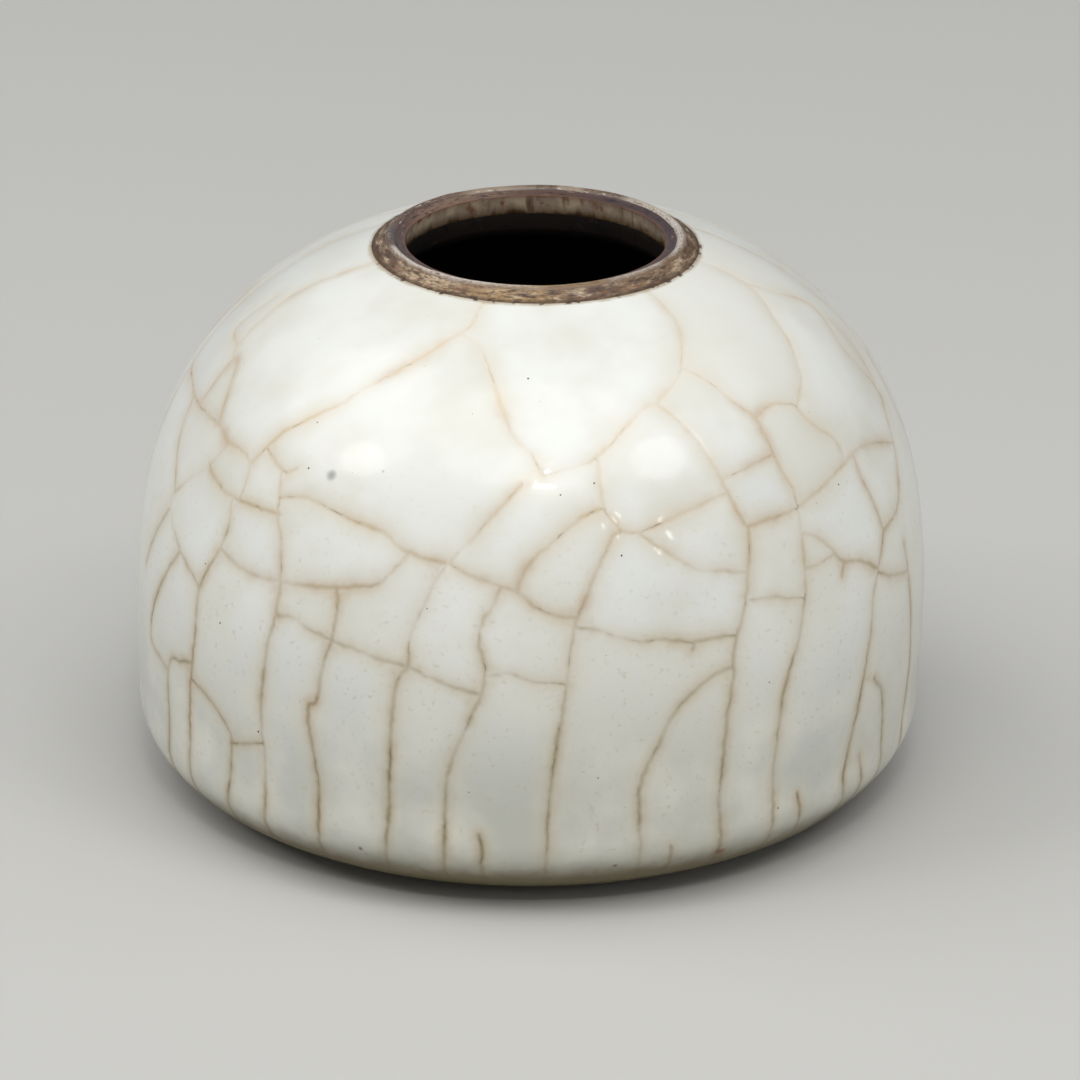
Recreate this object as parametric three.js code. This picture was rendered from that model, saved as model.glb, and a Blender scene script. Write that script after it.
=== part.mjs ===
// A beehive-shaped brush washer: one thrown stoneware pot with the coats that were put on it before firing.
// Outside it wears a thick crackled glaze, round its mouth and foot an iron-brown dressing,
// and inside a dark slip.
// Millimetres, +Z up. The origin is the middle of the foot ring's flat face, on the table.

import * as THREE from "three";

// Outside of the finished pot, over its glaze
const BELLY_RADIUS = 47.5;
const BELLY_HEIGHT = 21;
const DOME_RISE = 47;
const DOME_POWER = 2.45;
const WALL_TAPER = 0.4;
const HEEL_HEIGHT = 10;

// Foot ring, set in from the belly, and the recessed base inside it.
// The heel's curve, carried on under the ring, would meet the table HEEL_SPRING inside the ring's edge.
const FOOT_INSET = 11;
const FOOT_WIDTH = 3.5;
const FOOT_FLARE = 0.3;
const HEEL_SPRING = 4;
const RECESS_DEPTH = 2;
const RECESS_DRAFT = 0.4;

// Mouth, from its opening outwards: a lip that climbs to a round bead, and a low collar outside the bead
const MOUTH_RADIUS = 15.4;
const LIP_WIDTH = 1.25;
const LIP_DROP = 0.35;
const LIP_HOLLOW = 0.12;
const BEAD_WIDTH = 1.1;
const BEAD_RISE = 0.35;
const COLLAR_WIDTH = 1.6;
const COLLAR_RISE = 1.1;
const COLLAR_HOLLOW = 0.12;
const NECK_FLARE = 0.25;
const NECK_ROUNDING = 1.2;

// Clay left between the coats
const WALL_THICKNESS = 4.2;
const FLOOR_THICKNESS = 5;
const INNER_CORNER = 10;

// Coats
const GLAZE_THICKNESS = 0.8;
const BASE_GLAZE_THICKNESS = 0.5;
const NECK_GLAZE_THICKNESS = 0.5;
const BEAD_THICKNESS = 0.35;
const DRESSING_THICKNESS = 0.3;
const SLIP_THICKNESS = 0.3;
const FOOT_BAND_WIDTH = 7;
const NECK_GLAZE_DEPTH = 2.3;

// Facets round the pot, and steps along each curve of its section
const TURNS = 40;
const DOME_STEPS = 11;
const WALL_STEPS = 3;
const HEEL_STEPS = 5;
const FOOT_BAND_STEPS = 3;
const BEAD_STEPS = 6;
const BAND_STEPS = 3;
const INNER_DOME_STEPS = 7;
const INNER_CORNER_STEPS = 4;
const NECK_STEPS = 3;

// Sizes that follow from the ones above
const FOOT_RADIUS = BELLY_RADIUS - FOOT_INSET;
const HEEL_TOP_RADIUS = BELLY_RADIUS - WALL_TAPER;
const HEEL_CENTRE_RADIUS = FOOT_RADIUS - HEEL_SPRING;
const HEEL_TUCK = HEEL_TOP_RADIUS - HEEL_CENTRE_RADIUS;
const BEAD_INNER_RADIUS = MOUTH_RADIUS + LIP_WIDTH;
const BEAD_RADIUS = BEAD_INNER_RADIUS + BEAD_WIDTH / 2;
const BEAD_OUTER_RADIUS = BEAD_INNER_RADIUS + BEAD_WIDTH;
const COLLAR_RADIUS = BEAD_OUTER_RADIUS + COLLAR_WIDTH;
const COLLAR_FOOT_HEIGHT = domeHeight(COLLAR_RADIUS, BELLY_RADIUS, DOME_RISE);
const BEAD_EDGE_HEIGHT = COLLAR_FOOT_HEIGHT + COLLAR_RISE;
const LIP_HEIGHT = BEAD_EDGE_HEIGHT - LIP_DROP;
const FULL_WALL = GLAZE_THICKNESS + WALL_THICKNESS + SLIP_THICKNESS;
const INNER_RADIUS = BELLY_RADIUS - FULL_WALL;
const INNER_RISE = DOME_RISE - FULL_WALL;
const INNER_FLOOR = RECESS_DEPTH + BASE_GLAZE_THICKNESS + FLOOR_THICKNESS + SLIP_THICKNESS;
const NECK_RADIUS = MOUTH_RADIUS + NECK_FLARE;
const NECK_GLAZE_EDGE = LIP_HEIGHT - NECK_GLAZE_DEPTH;

// Height of a dome of the pot's shape where it has a given radius
function domeHeight(radius, belly, rise) {
  return BELLY_HEIGHT + rise * (1 - (radius / belly) ** DOME_POWER) ** (1 / DOME_POWER);
}

const point = (radius, height) => new THREE.Vector2(radius, height);

// Points on a curve, at even steps of its share from 0 to 1
function along(steps, curve) {
  return Array.from({ length: steps + 1 }, (_, i) => curve(i / steps));
}

// A straight run that bows by a given hollow to the right of its direction
function hollowRun(from, to, hollow, steps) {
  const across = to.clone().sub(from).normalize();
  return along(steps, (share) => {
    const bow = 4 * hollow * share * (1 - share);
    return from.clone().lerp(to, share).add(point(across.y * bow, -across.x * bow));
  });
}

// The dome from its belly up to a given radius
function dome(belly, rise, smallest, steps) {
  const last = Math.acos((smallest / belly) ** (DOME_POWER / 2));
  return along(steps, (share) => {
    const turn = last * share;
    return point(
      belly * Math.cos(turn) ** (2 / DOME_POWER),
      BELLY_HEIGHT + rise * Math.sin(turn) ** (2 / DOME_POWER),
    );
  });
}

// A stretch of the heel, a quarter ellipse under the wall, between two turns from its bottom
function heel(fromTurn, toTurn, steps) {
  return along(steps, (share) => {
    const turn = fromTurn + (toTurn - fromTurn) * share;
    return point(
      HEEL_CENTRE_RADIUS + HEEL_TUCK * Math.sin(turn),
      HEEL_HEIGHT * (1 - Math.cos(turn)),
    );
  });
}

// The inside under the neck: floor, rounded corner, upright wall and dome
function innerFace() {
  const cornerRadius = INNER_RADIUS - INNER_CORNER;
  const corner = along(INNER_CORNER_STEPS, (share) => {
    const turn = (share * Math.PI) / 2;
    return point(
      cornerRadius + INNER_CORNER * Math.sin(turn),
      INNER_FLOOR + INNER_CORNER * (1 - Math.cos(turn)),
    );
  });
  return [
    point(0, INNER_FLOOR),
    ...corner,
    ...dome(INNER_RADIUS, INNER_RISE, NECK_RADIUS + NECK_ROUNDING, INNER_DOME_STEPS),
    point(NECK_RADIUS, domeHeight(NECK_RADIUS, INNER_RADIUS, INNER_RISE) + NECK_ROUNDING),
    point(NECK_RADIUS, NECK_GLAZE_EDGE),
  ];
}

function neckFace() {
  return hollowRun(point(NECK_RADIUS, NECK_GLAZE_EDGE), point(MOUTH_RADIUS, LIP_HEIGHT), 0, NECK_STEPS);
}

function lipFace() {
  return hollowRun(
    point(MOUTH_RADIUS, LIP_HEIGHT),
    point(BEAD_INNER_RADIUS, BEAD_EDGE_HEIGHT),
    LIP_HOLLOW,
    BAND_STEPS,
  );
}

// The bead is an arc over its width
function beadFace() {
  const half = BEAD_WIDTH / 2;
  const arcRadius = (half ** 2 + BEAD_RISE ** 2) / (2 * BEAD_RISE);
  const spread = Math.asin(half / arcRadius);
  return along(BEAD_STEPS, (share) => {
    const turn = spread * (2 * share - 1);
    return point(
      BEAD_RADIUS + arcRadius * Math.sin(turn),
      BEAD_EDGE_HEIGHT + BEAD_RISE - arcRadius * (1 - Math.cos(turn)),
    );
  });
}

function collarFace() {
  return hollowRun(
    point(BEAD_OUTER_RADIUS, BEAD_EDGE_HEIGHT),
    point(COLLAR_RADIUS, COLLAR_FOOT_HEIGHT),
    COLLAR_HOLLOW,
    BAND_STEPS,
  );
}

// Turn of the heel's curve at a given distance outside the foot ring's edge
function heelTurn(distance) {
  return Math.asin((FOOT_RADIUS + distance - HEEL_CENTRE_RADIUS) / HEEL_TUCK);
}

function outerFace() {
  const wall = along(WALL_STEPS, (share) => {
    const eased = share * share * (3 - 2 * share);
    return point(BELLY_RADIUS - WALL_TAPER * eased, BELLY_HEIGHT + (HEEL_HEIGHT - BELLY_HEIGHT) * share);
  });
  return [
    ...dome(BELLY_RADIUS, DOME_RISE, COLLAR_RADIUS, DOME_STEPS).reverse(),
    ...wall.slice(1, -1),
    ...heel(Math.PI / 2, heelTurn(FOOT_BAND_WIDTH), HEEL_STEPS),
  ];
}

// The underside from the glaze's edge in to the foot ring, and down the ring's outer side
function footBandFace() {
  const band = heel(heelTurn(FOOT_BAND_WIDTH), heelTurn(FOOT_FLARE), FOOT_BAND_STEPS);
  return [...band, point(FOOT_RADIUS, 0)];
}

function footRingFace() {
  const inner = FOOT_RADIUS - FOOT_WIDTH;
  return [point(FOOT_RADIUS, 0), point(inner, 0), point(inner - RECESS_DRAFT, RECESS_DEPTH)];
}

function baseFace() {
  return [point(FOOT_RADIUS - FOOT_WIDTH - RECESS_DRAFT, RECESS_DEPTH), point(0, RECESS_DEPTH)];
}

// The section, from the middle of the floor inside, over the mouth, to the middle of the base.
// A stretch with no coat is bare clay.
const COATS = [
  { name: "inner_slip", face: innerFace(), thickness: SLIP_THICKNESS, look: [0x1d1612, 0.75] },
  { name: "neck_glaze", face: neckFace(), thickness: NECK_GLAZE_THICKNESS, look: [0xcdbda0, 0.3] },
  { name: "lip_band", face: lipFace(), thickness: DRESSING_THICKNESS, look: [0x4b3c3d, 0.45] },
  { name: "rim_bead", face: beadFace(), thickness: BEAD_THICKNESS, look: [0xd8d2c4, 0.25] },
  { name: "collar_band", face: collarFace(), thickness: DRESSING_THICKNESS, look: [0x6b4f3c, 0.5] },
  { name: "outer_glaze", face: outerFace(), thickness: GLAZE_THICKNESS, look: [0xe9e8df, 0.12] },
  { name: "foot_band", face: footBandFace(), thickness: DRESSING_THICKNESS, look: [0x54402f, 0.6] },
  { name: "foot_ring", face: footRingFace(), thickness: 0 },
  { name: "base_glaze", face: baseFace(), thickness: BASE_GLAZE_THICKNESS, look: [0xdedccf, 0.2] },
];
const CLAY = { name: "clay_body", look: [0x453a33, 0.85] };

// How far and which way a point of the section goes inwards for each millimetre of coat,
// so that two stretches that meet at a corner share one mitred edge
function mitre(before, at, after) {
  const rights = [[before, at], [at, after]]
    .filter(([from, to]) => from && to)
    .map(([from, to]) => to.clone().sub(from).normalize())
    .map((way) => point(way.y, -way.x));
  const sum = rights.reduce((total, right) => total.clone().add(right));
  return rights.length === 1 ? sum : sum.divideScalar(1 + rights[0].dot(rights[1]));
}

// The edge under each coat, worked out on the whole section at once
function layBacks(coats) {
  coats.forEach((coat, at) => {
    const { face, thickness } = coat;
    const before = coats[at - 1]?.face.at(-2);
    const after = coats[at + 1]?.face[1];
    coat.mitres = face.map((p, i) => mitre(face[i - 1] ?? before, p, face[i + 1] ?? after));
    coat.back = face.map((p, i) => p.clone().addScaledVector(coat.mitres[i], thickness));
  });
}

// The end of a coat between its face and its back, with its thinner neighbour's edge marked on it
function endPoint(coat, neighbour, index) {
  if (!neighbour || neighbour.thickness === 0 || neighbour.thickness >= coat.thickness) return [];
  return [coat.face.at(index).clone().addScaledVector(coat.mitres.at(index), neighbour.thickness)];
}

// A turned solid from its section, whose points run with the solid on their right.
// The lathe wants them the other way round.
function turned(name, section, [color, roughness]) {
  const geometry = new THREE.LatheGeometry(section.slice().reverse(), TURNS).rotateX(Math.PI / 2);
  const mesh = new THREE.Mesh(geometry, new THREE.MeshStandardMaterial({ color, roughness, metalness: 0 }));
  mesh.name = name;
  return mesh;
}

const sameSpot = (a, b) => a.distanceTo(b) < 1e-6;
const withoutRepeats = (points) => points.filter((p, i) => i === 0 || !sameSpot(p, points[i - 1]));

// A coat closes on itself, or starts and ends on the axis
function coatSection(coat, before, after) {
  const open = [
    ...coat.face,
    ...endPoint(coat, after, -1),
    ...coat.back.slice().reverse(),
    ...endPoint(coat, before, 0),
  ];
  const onAxis = open.findIndex((p, i) => i > 0 && p.x === 0 && open[i - 1].x === 0);
  if (onAxis > 0) return [...open.slice(onAxis), ...open.slice(0, onAxis)];
  return open[0].x === 0 ? open : [...open, open[0].clone()];
}

layBacks(COATS);
const pot = new THREE.Group();
pot.add(turned(CLAY.name, withoutRepeats(COATS.flatMap((coat) => coat.back)), CLAY.look));
COATS.forEach((coat, at) => {
  if (coat.thickness === 0) return;
  pot.add(turned(coat.name, coatSection(coat, COATS[at - 1], COATS[at + 1]), coat.look));
});

export default pot;
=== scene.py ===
"""A brush washer: a low, beehive-shaped stoneware pot in crackled white glaze.

Sizes are in millimetres, as a potter gives them, and turn into metres where a mesh is made. An azimuth
is an angle round the pot, from its front (-Y) towards its right (+X).
"""

import logging
import math
from dataclasses import dataclass
from enum import Enum
from functools import partial

import bmesh
import bpy
import numpy as np
from mathutils import Matrix, Vector, kdtree, noise
from mathutils.geometry import delaunay_2d_cdt


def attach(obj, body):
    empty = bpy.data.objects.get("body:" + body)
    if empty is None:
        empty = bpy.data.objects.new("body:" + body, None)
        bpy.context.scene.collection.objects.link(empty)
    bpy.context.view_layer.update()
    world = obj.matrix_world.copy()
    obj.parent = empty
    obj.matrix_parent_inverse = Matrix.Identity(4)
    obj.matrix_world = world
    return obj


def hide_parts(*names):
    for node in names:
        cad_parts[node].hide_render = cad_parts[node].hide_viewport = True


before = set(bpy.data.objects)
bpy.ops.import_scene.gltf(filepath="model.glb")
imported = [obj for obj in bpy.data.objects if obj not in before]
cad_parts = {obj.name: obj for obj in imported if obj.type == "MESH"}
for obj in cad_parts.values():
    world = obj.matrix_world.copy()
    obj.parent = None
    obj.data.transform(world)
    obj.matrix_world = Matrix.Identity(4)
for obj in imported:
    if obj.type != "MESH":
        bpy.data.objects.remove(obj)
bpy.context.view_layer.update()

LOG = logging.getLogger("brush_washer")
MM = 0.001
FULL_TURN = 2 * math.pi
BODY = "root"
TURNED_FACETS = 360
SHARP_ANGLE = math.radians(40)

# Short names for what comes up often
MATH, VECTOR_MATH = "ShaderNodeMath", "ShaderNodeVectorMath"
RANGE, MIX = "ShaderNodeMapRange", "ShaderNodeMix"
NOISE, VORONOI = "ShaderNodeTexNoise", "ShaderNodeTexVoronoi"
XYZ, SPLIT_XYZ = "ShaderNodeCombineXYZ", "ShaderNodeSeparateXYZ"
BUMP = "ShaderNodeBump"
SMOOTH = {"interpolation_type": "SMOOTHSTEP"}
PLUS, MINUS, TIMES, OVER, TIMES_PLUS = (
    {"operation": name} for name in ("ADD", "SUBTRACT", "MULTIPLY", "DIVIDE", "MULTIPLY_ADD")
)
Tree, Socket, Mesh = bpy.types.NodeTree, bpy.types.NodeSocket, bpy.types.Mesh
Piece, Material, Array = bpy.types.Object, bpy.types.Material, np.ndarray


def linear(code: str) -> tuple[float, float, float, float]:
    """Turns an sRGB hex colour into the linear colour that a shader takes.

    Args:
        code: six hex digits after a hash.

    Returns:
        Red, green, blue and an alpha of 1.
    """
    parts = [int(code[i : i + 2], 16) / 255 for i in (1, 3, 5)]
    bright = [p / 12.92 if p <= 0.04045 else ((p + 0.055) / 1.055) ** 2.4 for p in parts]
    return (*bright, 1.0)


def per_metre(size_mm: float) -> float:
    """Gives the texture scale at which a pattern repeats about every size_mm millimetres."""
    return 1 / (size_mm * MM)


def add(tree: Tree, kind: str, inputs: dict | tuple = (), out: int = 0, **settings: object) -> Socket | None:
    """Adds a node with its settings and links.

    Args:
        tree: the node tree.
        kind: the node's type.
        inputs: a value or a socket to link from, for each input by name, or in their order.
        out: which of its outputs to give back.
        **settings: the node's own properties.

    Returns:
        The chosen output socket, if the node has outputs.
    """
    node = tree.nodes.new(kind)
    for name, value in settings.items():
        setattr(node, name, value)
    for key, value in inputs.items() if isinstance(inputs, dict) else enumerate(inputs):
        if isinstance(value, Socket):
            tree.links.new(value, node.inputs[key])
        else:
            node.inputs[key].default_value = value
    return node.outputs[out] if node.outputs else None


def new_tree(name: str, inputs: dict[str, str]) -> tuple[Tree, bpy.types.bpy_prop_collection]:
    """Starts a geometry tree with named inputs.

    Args:
        name: the tree's name.
        inputs: the kind of each input by its name.

    Returns:
        The tree and the sockets of its inputs.
    """
    tree = bpy.data.node_groups.new(name, "GeometryNodeTree")
    for label, kind in inputs.items():
        tree.interface.new_socket(label, in_out="INPUT", socket_type="NodeSocket" + kind)
    tree.interface.new_socket("made", in_out="OUTPUT", socket_type="NodeSocketGeometry")
    return tree, tree.nodes.new("NodeGroupInput").outputs


def end_tree(tree: Tree, geometry: Socket, material: Socket) -> Tree:
    """Ends a geometry tree: its geometry is shaded smooth, made real and given its material.

    Args:
        tree: the tree.
        geometry: what it has made.
        material: its input for the material.

    Returns:
        The tree.
    """
    smooth = add(tree, "GeometryNodeSetShadeSmooth", {"Geometry": geometry})
    real = add(tree, "GeometryNodeRealizeInstances", {"Geometry": smooth})
    dressed = add(tree, "GeometryNodeSetMaterial", {"Geometry": real, "Material": material})
    add(tree, "NodeGroupOutput", {"made": dressed})
    return tree


def thin(points: Array, every: int = 3) -> Array:
    """Keeps one point in a few, and the last one."""
    return np.vstack([points[:-1][::every], points[-1:]])


def noise_along(lengths: Array, size: float, tag: float, layer: int) -> Array:
    """Smooth noise from -1 to 1 at lengths along a line, which changes over a size."""
    return np.array([noise.noise(Vector((length / size, tag, layer))) for length in lengths])


def leftwards(line: Array) -> Array:
    """Finds the way to the left of a line.

    Args:
        line: azimuth and rise of its points.

    Returns:
        A unit vector for each of its points.
    """
    way = np.gradient(line, axis=0)
    way /= np.linalg.norm(way, axis=1)[:, None] + 1e-12
    return np.column_stack([-way[:, 1], way[:, 0]])


# The pot's section


@dataclass
class PotSizes:
    """The pot's sizes, the same as those of its solids."""

    belly_radius: float = 47.5
    belly_height: float = 21.0
    dome_rise: float = 47.0
    dome_power: float = 2.45
    wall_taper: float = 0.4
    heel_height: float = 10.0
    foot_inset: float = 11.0
    foot_width: float = 3.5
    foot_flare: float = 0.3
    heel_spring: float = 4.0
    recess_depth: float = 2.0
    recess_draft: float = 0.4
    mouth_radius: float = 15.4
    lip_width: float = 1.25
    lip_drop: float = 0.35
    lip_hollow: float = 0.12
    bead_width: float = 1.1
    bead_rise: float = 0.35
    collar_width: float = 1.6
    collar_rise: float = 1.1
    collar_hollow: float = 0.12
    neck_flare: float = 0.25
    neck_hollow: float = 0.08
    neck_rounding: float = 1.2
    wall_thickness: float = 4.2
    floor_thickness: float = 5.0
    inner_corner: float = 10.0
    glaze_thickness: float = 0.8
    base_glaze_thickness: float = 0.5
    neck_glaze_thickness: float = 0.5
    bead_thickness: float = 0.35
    dressing_thickness: float = 0.3
    inner_coat_thickness: float = 0.3
    foot_band_width: float = 7.0
    neck_glaze_depth: float = 2.3

    def __post_init__(self) -> None:
        """Works out the sizes that follow from the others."""
        self.foot_radius = self.belly_radius - self.foot_inset
        self.heel_top_radius = self.belly_radius - self.wall_taper
        self.heel_centre_radius = self.foot_radius - self.heel_spring
        self.bead_inner_radius = self.mouth_radius + self.lip_width
        self.bead_outer_radius = self.bead_inner_radius + self.bead_width
        self.collar_radius = self.bead_outer_radius + self.collar_width
        self.collar_foot_height = self.dome_height(self.collar_radius, self.belly_radius, self.dome_rise)
        self.bead_edge_height = self.collar_foot_height + self.collar_rise
        self.lip_height = self.bead_edge_height - self.lip_drop
        self.neck_radius = self.mouth_radius + self.neck_flare
        self.full_wall = self.glaze_thickness + self.wall_thickness + self.inner_coat_thickness
        base = self.recess_depth + self.base_glaze_thickness
        self.inner_floor = base + self.floor_thickness + self.inner_coat_thickness

    def dome_height(self, radius: float, belly: float, rise: float) -> float:
        """Height of a dome of the pot's shape.

        Args:
            radius: where on the dome.
            belly: the dome's widest radius.
            rise: its height over the belly.

        Returns:
            The height over the table.
        """
        share = 1 - (radius / belly) ** self.dome_power
        return self.belly_height + rise * share ** (1 / self.dome_power)

    def heel_turn(self, distance: float) -> float:
        """Turn of the heel's curve at a distance outside the foot ring's edge."""
        tuck = self.heel_top_radius - self.heel_centre_radius
        return math.asin((self.foot_radius + distance - self.heel_centre_radius) / tuck)


class Coat(Enum):
    """The stretches of the section, in order from the middle of the floor inside to the base."""

    INNER_SLIP = "inner_slip"
    NECK_GLAZE = "neck_glaze"
    LIP_BAND = "lip_band"
    RIM_BEAD = "rim_bead"
    COLLAR_BAND = "collar_band"
    OUTER_GLAZE = "outer_glaze"
    FOOT_BAND = "foot_band"
    FOOT_RING = "foot_ring"
    BASE_GLAZE = "base_glaze"


class Section:
    """The pot's section with fine steps, cut into the stretches that its coats cover."""

    def __init__(self, sizes: PotSizes) -> None:
        """Draws every stretch and the clay's edge under it.

        Args:
            sizes: the pot's sizes.
        """
        self.sizes = s = sizes
        mouth = (s.mouth_radius, s.lip_height)
        low_neck = (s.neck_radius, s.lip_height - s.neck_glaze_depth)
        bead_inner = (s.bead_inner_radius, s.bead_edge_height)
        bead_outer = (s.bead_outer_radius, s.bead_edge_height)
        collar_foot = (s.collar_radius, s.collar_foot_height)
        under = self._heel(s.heel_turn(s.foot_band_width), s.heel_turn(s.foot_flare), 24)
        ring_outer, ring_inner = [s.foot_radius, 0.0], [s.foot_radius - s.foot_width, 0.0]
        recess_edge = [ring_inner[0] - s.recess_draft, s.recess_depth]
        run = self._hollow_run
        laid = {
            Coat.INNER_SLIP: (self._inner(), s.inner_coat_thickness),
            Coat.NECK_GLAZE: (run(low_neck, mouth, s.neck_hollow, 14), s.neck_glaze_thickness),
            Coat.LIP_BAND: (run(mouth, bead_inner, s.lip_hollow, 10), s.dressing_thickness),
            Coat.RIM_BEAD: (self._bead(), s.bead_thickness),
            Coat.COLLAR_BAND: (run(bead_outer, collar_foot, s.collar_hollow, 14), s.dressing_thickness),
            Coat.OUTER_GLAZE: (self._outer(), s.glaze_thickness),
            Coat.FOOT_BAND: (np.vstack([under, [ring_outer]]), s.dressing_thickness),
            Coat.FOOT_RING: (np.array([ring_outer, ring_inner, recess_edge]), 0.0),
            Coat.BASE_GLAZE: (np.linspace(recess_edge, [0, s.recess_depth], 40), s.base_glaze_thickness),
        }
        self.faces = {coat: face for coat, (face, _) in laid.items()}
        self.thicknesses = {coat: thickness for coat, (_, thickness) in laid.items()}
        self.backs = self._lay_backs()

    def _dome(self, belly: float, rise: float, smallest: float, steps: int) -> Array:
        """Points of a dome from its belly up to its smallest radius.

        Args:
            belly: the widest radius.
            rise: its height over the belly.
            smallest: the radius to stop at.
            steps: how many points.

        Returns:
            Radius and height of each point, from the belly up.
        """
        power = self.sizes.dome_power
        turn = np.linspace(0, math.acos((smallest / belly) ** (power / 2)), steps)
        radius = belly * np.cos(turn) ** (2 / power)
        height = self.sizes.belly_height + rise * np.sin(turn) ** (2 / power)
        return np.column_stack([radius, height])

    def _heel(self, start: float, end: float, steps: int) -> Array:
        """Points of the heel's quarter ellipse between two turns from its bottom.

        Args:
            start: the first turn.
            end: the last turn.
            steps: how many points.

        Returns:
            Radius and height of each point.
        """
        s = self.sizes
        turn = np.linspace(start, end, steps)
        tuck = s.heel_top_radius - s.heel_centre_radius
        radius = s.heel_centre_radius + tuck * np.sin(turn)
        return np.column_stack([radius, s.heel_height * (1 - np.cos(turn))])

    def _hollow_run(self, start: tuple, end: tuple, hollow: float, steps: int) -> Array:
        """Points of a straight run that bows by a hollow to the right of its direction.

        Args:
            start: its first point.
            end: its last point.
            hollow: how far its middle bows.
            steps: how many points.

        Returns:
            Radius and height of each point.
        """
        share = np.linspace(0, 1, steps)[:, None]
        first, last = np.array(start), np.array(end)
        across = (last - first) / np.linalg.norm(last - first)
        right = np.array([across[1], -across[0]])
        return first + (last - first) * share + right * 4 * hollow * share * (1 - share)

    def _inner(self) -> Array:
        """Floor, rounded corner, wall and dome inside, up to the neck.

        Returns:
            Radius and height of each point.
        """
        s = self.sizes
        radius, rise = s.belly_radius - s.full_wall, s.dome_rise - s.full_wall
        turn = np.linspace(0, math.pi / 2, 24)
        across = radius - s.inner_corner + s.inner_corner * np.sin(turn)
        corner = np.column_stack([across, s.inner_floor + s.inner_corner * (1 - np.cos(turn))])
        floor = np.column_stack([np.linspace(0, corner[0, 0], 30)[:-1], np.full(29, s.inner_floor)])
        dome = self._dome(radius, rise, s.neck_radius + s.neck_rounding, 40)
        under = s.dome_height(s.neck_radius, radius, rise) + s.neck_rounding
        bend = np.linspace(0, 1, 8)[1:, None]
        tangent = np.array([s.neck_radius + s.neck_rounding * 0.2, dome[-1, 1] + 0.5])
        end = np.array([s.neck_radius, under])
        curl = dome[-1] * (1 - bend) ** 2 + tangent * 2 * bend * (1 - bend) + end * bend**2
        edge = [[s.neck_radius, s.lip_height - s.neck_glaze_depth]]
        return np.vstack([floor, corner, dome, curl, edge])

    def _bead(self) -> Array:
        """The bead, an arc over its width.

        Returns:
            Radius and height of each point.
        """
        s = self.sizes
        half = s.bead_width / 2
        arc_radius = (half**2 + s.bead_rise**2) / (2 * s.bead_rise)
        turn = np.linspace(-1, 1, 15) * math.asin(half / arc_radius)
        radius = s.bead_inner_radius + half + arc_radius * np.sin(turn)
        height = s.bead_edge_height + s.bead_rise - arc_radius * (1 - np.cos(turn))
        return np.column_stack([radius, height])

    def _outer(self) -> Array:
        """Dome, wall and heel, down to the edge of the glaze.

        Returns:
            Radius and height of each point.
        """
        s = self.sizes
        dome = self._dome(s.belly_radius, s.dome_rise, s.collar_radius, 240)[::-1]
        share = np.linspace(0, 1, 40)
        eased = share * share * (3 - 2 * share)
        height = s.belly_height + (s.heel_height - s.belly_height) * share
        wall = np.column_stack([s.belly_radius - s.wall_taper * eased, height])
        heel = self._heel(math.pi / 2, s.heel_turn(s.foot_band_width), 50)
        return np.vstack([dome, wall[1:-1], heel])

    def _lay_backs(self) -> dict[Coat, Array]:
        """Works out the clay's edge under each stretch, mitred where two stretches meet.

        Returns:
            Radius and height of each point, for each stretch.
        """
        ends = list(self.faces.values())
        backs = {}
        for at, (coat, face) in enumerate(self.faces.items()):
            before = ends[at - 1][-2] if at > 0 else None
            after = ends[at + 1][1] if at + 1 < len(ends) else None
            padded = [p for p in (before, *face, after) if p is not None]
            offset = 1 if before is not None else 0
            inward = [self._mitre(padded, i + offset) for i in range(len(face))]
            backs[coat] = face + np.array(inward) * self.thicknesses[coat]
        return backs

    @staticmethod
    def _mitre(points: list[Array], at: int) -> Array:
        """How a point of the section moves inwards for each millimetre of coat.

        Args:
            points: the section's points.
            at: which of them.

        Returns:
            The move's radius and height.
        """
        rights = []
        for start, end in ((at - 1, at), (at, at + 1)):
            if start >= 0 and end < len(points):
                way = (points[end] - points[start]) / np.linalg.norm(points[end] - points[start])
                rights.append(np.array([way[1], -way[0]]))
        if len(rights) == 1:
            return rights[0]
        return (rights[0] + rights[1]) / (1 + rights[0] @ rights[1])

    def loop(self, coat: Coat) -> Array:
        """The closed section of one coat, or one that starts and ends on the axis.

        Args:
            coat: which stretch.

        Returns:
            Radius and height of each point.
        """
        face, back = self.faces[coat], thin(self.backs[coat][::-1])
        if coat is Coat.INNER_SLIP:
            return np.vstack([face, back])
        if coat is Coat.BASE_GLAZE:
            return np.vstack([back, face])
        return np.vstack([face, back, face[:1]])

    def clay_loop(self) -> Array:
        """The section of the clay, from the axis inside to the axis underneath.

        Returns:
            Radius and height of each point.
        """
        points = np.vstack([thin(back) for back in self.backs.values()])
        keep = np.r_[True, np.linalg.norm(np.diff(points, axis=0), axis=1) > 1e-4]
        return points[keep]


@dataclass(frozen=True)
class Stance:
    """How a hand-thrown pot leans and bows: each of its rings is shifted a little sideways."""

    lean: float = 0.43
    lean_from: float = 28.0
    lean_over: float = 40.0
    bow: float = 0.073
    bow_middle: float = 33.0

    def shift(self, height: Array) -> Array:
        """How far to the right the ring at a height is shifted, in millimetres."""
        leaning = self.lean * (height - self.lean_from) / self.lean_over
        return leaning + self.bow * (1 - ((height - self.bow_middle) / self.bow_middle) ** 2)


# Turned pieces


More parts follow.
